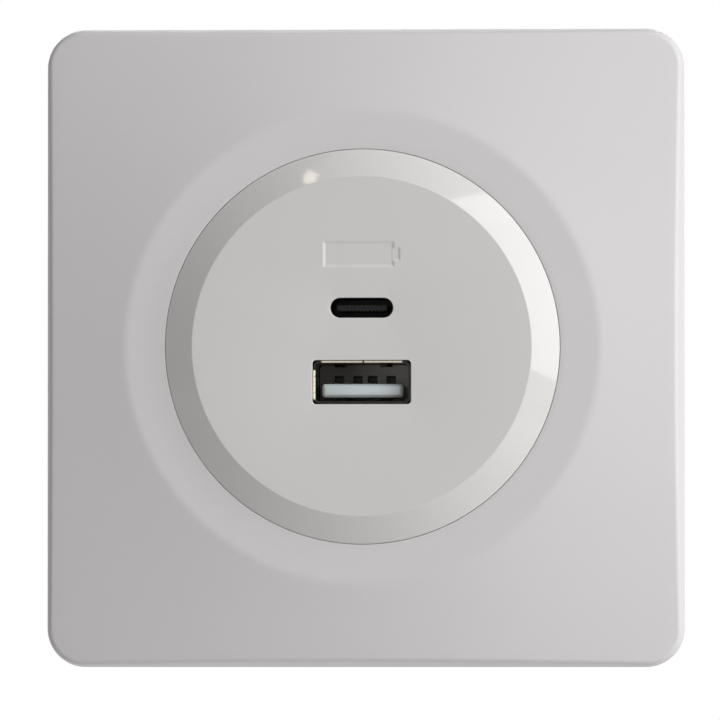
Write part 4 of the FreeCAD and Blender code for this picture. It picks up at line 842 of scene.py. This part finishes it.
def port_tube():
    """Dark plated tube of the USB-A port, with painted highlights along its top and left edges.

    The painted highlights are bands of x and z, in millimetres from the port's middle, on the
    front edge. Noise breaks up the left one, and the tube's seam is a dark gap in the top one.
    """
    material, tree, shader = start_material("plated port tube", metallic=1.0)
    surface = use(tree, METAL, Lines=(900.0, 5000.0, 900.0), Depth=8e-7, Low=0.14, High=0.3)
    spot = tree.place()
    axes = split(tree, spot)
    x = tree.times(axes["X"], 1 / MM)
    z = tree.minus(tree.times(axes["Z"], 1 / MM), USB_A_Z)
    inside = tree.span(axes["Y"], -(TUBE_FRONT - 0.2) * MM, -(TUBE_FRONT - 0.25) * MM)
    # Painted highlight: bright bands on the top and left edges of the mouth stand for reflections.
    top = tree.times(tree.span(z, 2.60, 2.66), tree.span(tree.size(x), 5.5, 5.3))
    seam = tree.span(tree.size(tree.minus(x, 0.2)), 0.08, 0.16)
    left = tree.times(tree.span(x, -6.2, -6.26),
                      tree.span(tree.size(tree.plus(z, 0.35)), 2.05, 1.85))
    broken = tree.span(tree.noise(spot, 3300.0, 2.0), 0.28, 0.42)
    painted_highlight = tree.plus(tree.times(tree.times(top, seam), 0.6), tree.times(left, broken))
    painted_highlight = tree.times(painted_highlight, tree.minus(1.0, inside))
    bore = tree.blend(surface["Tone"], (0.075, 0.068, 0.06), (0.20, 0.185, 0.165))
    # Painted reflection: the front edge is painted near black as a dark reflection.
    edge = tree.blend(surface["Tone"], (0.022, 0.020, 0.018), (0.042, 0.038, 0.034))
    dark = tree.blend(inside, edge, bore)
    tree.join(tree.blend(painted_highlight, dark, (0.92, 0.84, 0.68)), shader["Base Color"])
    tree.join(surface["Roughness"], shader["Roughness"])
    tree.join(surface["Normal"], shader["Normal"])
    return material


def board_laminate():
    """Green solder mask over copper tracks, with drilled pads and a raw brown edge.

    Tracks are the narrow bands where a slow noise crosses fixed values, as contour lines
    are; pads are the round middles of a cell pattern.
    """
    material, tree, shader = start_material("green board laminate")
    spot = tree.place()
    contour = tree.noise(tree.stretch(spot, (230.0, 0.0, 230.0)), 1.0, 0.0)
    bands = tree.sums("FRACT", tree.times(contour, 14.0))
    track = tree.span(tree.size(tree.minus(bands, 0.5)), 0.22, 0.18)
    cells = tree.add("TexVoronoi", {"Vector": tree.stretch(spot, (1.0, 0.0, 1.0)),
                                    "Scale": 390.0, "Randomness": 0.75})
    ring = tree.times(tree.span(cells.outputs["Distance"], 0.27, 0.24),
                     tree.span(cells.outputs["Distance"], 0.10, 0.13))
    # Painted shade: the drilled holes are painted as near-black discs.
    hole = tree.span(cells.outputs["Distance"], 0.13, 0.10)
    weave = tree.noise(spot, 5200.0, 2.0)
    mask = tree.blend(track, (0.012, 0.10, 0.045), (0.03, 0.19, 0.08))
    mask = tree.blend(ring, mask, (0.62, 0.60, 0.56))
    mask = tree.blend(hole, mask, (0.02, 0.02, 0.02))
    side = tree.add("NewGeometry").outputs["True Normal"]
    face = tree.span(tree.size(split(tree, side)["Y"]), 0.4, 0.6)
    raw = tree.blend(weave, (0.22, 0.17, 0.08), (0.36, 0.30, 0.16))
    tree.join(tree.blend(face, raw, mask), shader["Base Color"])
    tree.join(tree.span(tree.plus(weave, ring), 0.2, 1.4, 0.28, 0.42), shader["Roughness"])
    relief = tree.plus(tree.times(track, 0.5), ring)
    tree.join(tree.bump(tree.plus(relief, tree.times(weave, 0.15)), 2e-5), shader["Normal"])
    return material


def capacitor_sleeve(name, middle_x, radius, rear, colour):
    """Shrunk sleeve with a pale stripe down one side and a scored bare end."""
    material, tree, shader = start_material(name)
    spot = tree.place()
    axes = split(tree, spot)
    across = tree.sums("DIVIDE", tree.minus(axes["X"], middle_x * MM), radius * MM)
    stripe = tree.span(across, 0.78, 0.82)
    dash = tree.span(tree.sums("FRACT", tree.times(axes["Y"], 420.0)), 0.42, 0.5)
    sleeve = tree.blend(stripe, colour, tuple(0.5 + 0.5 * c for c in colour))
    sleeve = tree.blend(tree.times(stripe, dash), sleeve, colour)
    bare = tree.span(axes["Y"], (rear - 0.55) * MM, (rear - 0.45) * MM)
    dull = tree.noise(spot, 900.0, 4.0)
    can = tree.blend(dull, (0.45, 0.45, 0.46), (0.62, 0.62, 0.63))
    tree.join(tree.blend(bare, sleeve, can), shader["Base Color"])
    tree.join(tree.times(bare, 0.9), shader["Metallic"])
    tree.join(tree.span(dull, 0.3, 0.7, 0.26, 0.42), shader["Roughness"])
    score = tree.span(tree.size(across), 0.05, 0.08)
    relief = tree.plus(tree.times(bare, score), tree.times(dull, 0.1))
    tree.join(tree.bump(relief, 6e-5), shader["Normal"])
    return material


def winding_tape():
    """Yellow tape in overlapping laps, slightly see-through to the wire."""
    material, tree, shader = start_material("yellow winding tape", coat=0.3)
    spot = tree.place()
    axes = split(tree, spot)
    slant = tree.plus(axes["Y"], tree.times(axes["Z"], 0.04))
    lap = tree.sums("FRACT", tree.times(slant, 310.0))
    wire = tree.sums("FRACT", tree.times(axes["Y"], 3600.0))
    ridge = tree.span(tree.size(tree.minus(wire, 0.5)), 0.0, 0.5)
    cloud = tree.noise(spot, 700.0, 4.0)
    body = tree.blend(cloud, (0.62, 0.40, 0.03), (0.80, 0.56, 0.06))
    body = tree.blend(tree.times(ridge, 0.35), body, (0.36, 0.17, 0.03))
    edge = tree.span(lap, 0.94, 0.99)
    tree.join(tree.blend(edge, body, (0.42, 0.27, 0.03)), shader["Base Color"])
    tree.join(tree.span(cloud, 0.3, 0.7, 0.22, 0.36), shader["Roughness"])
    tree.join(tree.bump(tree.plus(lap, tree.times(ridge, 0.2)), 4e-5), shader["Normal"])
    return material


def dipped_coating(name, colour, shade):
    """Dipped lacquer: runs and small craters over a glossy skin."""
    material, tree, shader = start_material(name, coat=0.4)
    spot = tree.place()
    runs = tree.noise(tree.stretch(spot, (420.0, 160.0, 420.0)), 1.0, 3.0)
    crater = tree.add("TexVoronoi", {"Vector": spot, "Scale": 1500.0}).outputs["Distance"]
    tree.join(tree.blend(tree.span(runs, 0.35, 0.65), shade, colour), shader["Base Color"])
    tree.join(tree.span(runs, 0.3, 0.7, 0.2, 0.38), shader["Roughness"])
    dimple = tree.span(crater, 0.0, 0.25, 0.0, 0.25)
    tree.join(tree.bump(tree.plus(runs, dimple), 5e-5), shader["Normal"])
    return material


satin_white = plastic("satin white frame plastic", (0.637, 0.622, 0.626), (0.617, 0.603, 0.607),
                      grain=2600.0, depth=1.2e-6, rough=(0.52, 0.64), scratches=0.10,
                      specular=0.4)
polished_white = plastic("polished white plate plastic", (0.632, 0.618, 0.606),
                         (0.616, 0.603, 0.592), grain=3600.0, depth=1.5e-7, rough=(0.05, 0.09),
                         scratches=0.12, specular=0.42)
housing_grey = plastic("light grey housing plastic", (0.50, 0.50, 0.485), (0.44, 0.44, 0.43),
                       grain=2200.0, depth=6e-6, rough=(0.5, 0.62), scratches=0.25)
block_black = plastic("dark terminal block plastic", (0.030, 0.030, 0.033),
                      (0.018, 0.018, 0.020), grain=2400.0, depth=6e-6, rough=(0.45, 0.6),
                      scratches=0.35)
bobbin_black = plastic("black phenolic", (0.026, 0.024, 0.023), (0.014, 0.013, 0.013),
                       grain=3400.0, depth=5e-6, rough=(0.4, 0.55), scratches=0.2)
port_black = plastic("black port moulding", (0.008, 0.008, 0.009), (0.004, 0.004, 0.005),
                     grain=4200.0, depth=2e-6, rough=(0.32, 0.45), specular=0.2)
header_black = plastic("black header strip", (0.030, 0.030, 0.030), (0.018, 0.018, 0.018),
                       grain=3000.0, depth=4e-6, rough=(0.42, 0.55))
fuse_brown = plastic("dark fuse case", (0.050, 0.026, 0.016), (0.030, 0.016, 0.011),
                     grain=2400.0, depth=3e-6, rough=(0.28, 0.42), scratches=0.2)
chip_epoxy = plastic("chip epoxy", (0.034, 0.034, 0.036), (0.020, 0.020, 0.022),
                     grain=6000.0, depth=5e-6, rough=(0.5, 0.66))
ferrite_grey = plastic("sintered ferrite", (0.060, 0.060, 0.064), (0.028, 0.028, 0.031),
                       grain=3200.0, depth=1.2e-5, rough=(0.48, 0.68), specular=0.6)
zinc_steel = metal("zinc plated sheet steel", (0.56, 0.57, 0.58), (0.36, 0.37, 0.37),
                   lines=(500.0, 5000.0, 5000.0), depth=2.5e-6, rough=(0.26, 0.5), scratches=0.5)
screw_steel = metal("zinc plated screw steel", (0.60, 0.60, 0.58), (0.34, 0.33, 0.31),
                    lines=(2500.0, 6000.0, 2500.0), rough=(0.18, 0.4), scratches=0.6)
# The USB-C shell's steel is given a near-black tone.
tube_steel = metal("near black port tube", (0.013, 0.012, 0.012), (0.006, 0.006, 0.006),
                   lines=(900.0, 5000.0, 900.0), depth=8e-7, rough=(0.22, 0.4), scratches=0.2)
gold_contact = metal("gilt contact", (0.50, 0.34, 0.11), (0.16, 0.10, 0.04),
                     lines=(8000.0, 600.0, 8000.0), depth=6e-7, rough=(0.2, 0.36), scratches=0.4)
# Painted shade: the USB-C contacts are darkened gilt, standing for the shade deep in the port.
shaded_contact = metal("gilt contact in painted shade", (0.05, 0.036, 0.016), (0.022, 0.016, 0.008),
                       lines=(8000.0, 600.0, 8000.0), depth=6e-7, rough=(0.3, 0.5))
clamp_brass = metal("bare clamp brass", (0.60, 0.44, 0.19), (0.30, 0.20, 0.09),
                    lines=(700.0, 5200.0, 700.0), depth=2e-6, rough=(0.24, 0.46), scratches=0.6)
copper_wire = metal("enamelled copper wire", (0.46, 0.17, 0.06), (0.24, 0.08, 0.035),
                    lines=(4000.0, 900.0, 4000.0), depth=8e-7, rough=(0.16, 0.3), scratches=0.1)

# Dress
DRESS = (
    (zinc_steel, "support_ring", "left_claw", "right_claw"),
    (housing_grey, "housing_front", "housing_rear"),
    (block_black, "terminal_block"),
    (port_tube(), "usb_a_shell"),
    (tube_steel, "usb_c_shell"),
    (port_black, "usb_c_insulator"),
    (shaded_contact, "usb_c_contacts"),
    (board_laminate(), "usb_board", "power_board"),
    (header_black, "link_header"),
    (gold_contact, "link_pins"),
    (clamp_brass, "line_cage", "neutral_cage", "line_bar", "neutral_bar"),
    (ferrite_grey, "transformer_cores", "filter_choke"),
    (bobbin_black, "transformer_bobbin"),
    (winding_tape(), "transformer_winding"),
    (fuse_brown, "fuse"),
    (capacitor_sleeve("input capacitor sleeve", middle_x=-11.6, radius=4.0, rear=22.6,
                      colour=(0.012, 0.016, 0.035)), "input_capacitors"),
    (capacitor_sleeve("output capacitor sleeve", middle_x=12.4, radius=3.15, rear=18.6,
                      colour=(0.018, 0.05, 0.035)), "output_capacitors"),
    (dipped_coating("blue dipped coating", (0.02, 0.09, 0.34), (0.012, 0.055, 0.22)),
     "varistor"),
    (dipped_coating("tan dipped coating", (0.46, 0.24, 0.07), (0.34, 0.17, 0.05)),
     "safety_capacitor"),
    (chip_epoxy, "bridge_rectifier", "switching_controller", "optocoupler",
     "output_rectifier", "charge_controller"),
)
for material, *names in DRESS:
    for name in names:
        for slot in nodes[name].material_slots:
            slot.material = material

wear(cover_moulding(), satin_white, "socket", "cover_frame")
wear(centre_moulding(), polished_white, "socket", "centre_plate")
wear(usb_a_moulding(), port_moulding(), "socket", "usb_a_insulator")
wear(usb_a_springs(), gold_contact, "socket", "usb_a_contacts")
wear(wire_coil("choke_wire", **CHOKE_WIRE), copper_wire, "socket",
     "choke_winding")
for name, (places, sizes) in SCREWS.items():
    body = "socket" if name == "case_screws" else name
    wear(turned_screw(name, places, sizes), screw_steel, body, name)


# Stage
def seen_ray(tree):
    """One for rays from the camera, from gloss and through glass, and nought for matt light."""
    rays = tree.add("LightPath").outputs
    seen = tree.sums("MAXIMUM", rays["Is Camera Ray"], rays["Is Glossy Ray"])
    return tree.sums("MAXIMUM", seen, rays["Is Transmission Ray"])


def pale_floor():
    """A matt floor that turns white with distance and is clear from below."""
    material, tree, shader = start_material("pale floor", specular=0.2)
    fleck = tree.noise(tree.place(), 60.0, 5.0)
    tree.join(tree.blend(fleck, (0.80, 0.80, 0.79), (0.86, 0.86, 0.85)), shader["Base Color"])
    tree.join(tree.span(fleck, 0.3, 0.7, 0.6, 0.8), shader["Roughness"])
    shader["Emission Color"].default_value = (1.0, 1.0, 0.99, 1.0)
    away = tree.add("VectorMath", {0: tree.place()}, operation="LENGTH").outputs["Value"]
    glow = tree.span(away, 0.85, 2.5, 0.46, 1.0)
    tree.join(tree.times(seen_ray(tree), glow), shader["Emission Strength"])
    made = material.node_tree.nodes
    sides = tree.add("MixShader", {0: tree.add("NewGeometry").outputs["Backfacing"],
                                   1: made["Principled BSDF"].outputs[0],
                                   2: tree.add("BsdfTransparent").outputs[0]})
    tree.join(sides.outputs[0], made["Material Output"].inputs["Surface"])
    return material


FLOOR_Z = -0.6
FLOOR_HALF = 3.0
floor_mesh = bpy.data.meshes.new("studio_floor")
floor_mesh.from_pydata([(x * FLOOR_HALF, y * FLOOR_HALF, FLOOR_Z)
                        for x, y in ((-1, -1), (1, -1), (1, 1), (-1, 1))], [], [(0, 1, 2, 3)])
floor_mesh.materials.append(pale_floor())
floor = bpy.data.objects.new("studio_floor", floor_mesh)
bpy.context.scene.collection.objects.link(floor)


def white_studio(fill):
    """White to the camera and in reflections, and a dim even fill on matt surfaces."""
    world = bpy.data.worlds.new("white studio")
    bpy.context.scene.world = world
    world.use_nodes = True
    tree = Tree(world.node_tree)
    background = world.node_tree.nodes["Background"]
    background.inputs["Color"].default_value = (1.0, 1.0, 1.0, 1.0)
    tree.join(tree.span(seen_ray(tree), 0.0, 1.0, fill, 1.0), background.inputs["Strength"])


def softbox(name, direction, distance, size, power, turn=0.0, tint=(1.0, 1.0, 1.0)):
    """A soft rectangular lamp that faces the socket."""
    lamp = bpy.data.lights.new(name, "AREA")
    lamp.shape = "RECTANGLE"
    lamp.size, lamp.size_y = size
    lamp.energy = power
    lamp.color = tint
    piece = bpy.data.objects.new(name, lamp)
    way = Vector(direction).normalized()
    piece.location = way * distance
    piece.rotation_euler = way.to_track_quat("Z", "Y").to_euler()
    piece.rotation_euler.rotate_axis("Z", turn)
    bpy.context.scene.collection.objects.link(piece)


white_studio(fill=0.205)
softbox("key_softbox", (0.82, -0.46, 0.34), distance=1.6, size=(1.8, 1.5), power=31.0,
        turn=-0.40)
softbox("top_softbox", (0.25, -0.45, 0.86), distance=1.6, size=(2.0, 1.0), power=4.3)
softbox("rear_softbox", (0.0, 1.0, 0.12), distance=1.3, size=(0.5, 0.5), power=5.0)
softbox("glint_lamp", (-0.303, -0.442, 0.845), distance=1.6, size=(0.10, 0.10), power=0.27,
        tint=(1.0, 0.86, 0.76))


# Camera
AZIMUTH, ELEVATION = math.radians(3.1), math.radians(-1.5)
DISTANCE = 1.6
FRAME_WIDTH = 0.0971
FRAME_SHIFT = (-0.0079, -0.0166)
SENSOR_WIDTH = 36.0
camera_data = bpy.data.cameras.new("camera")
camera_data.sensor_width = SENSOR_WIDTH
camera_data.lens = SENSOR_WIDTH * DISTANCE / FRAME_WIDTH
camera_data.shift_x, camera_data.shift_y = FRAME_SHIFT
camera = bpy.data.objects.new("camera", camera_data)
back = Vector((math.sin(AZIMUTH) * math.cos(ELEVATION),
               -math.cos(AZIMUTH) * math.cos(ELEVATION), math.sin(ELEVATION)))
camera.location = back * DISTANCE
camera.rotation_euler = back.to_track_quat("Z", "Y").to_euler()
bpy.context.scene.collection.objects.link(camera)
bpy.context.scene.camera = camera
bpy.context.scene.view_settings.view_transform = "Standard"
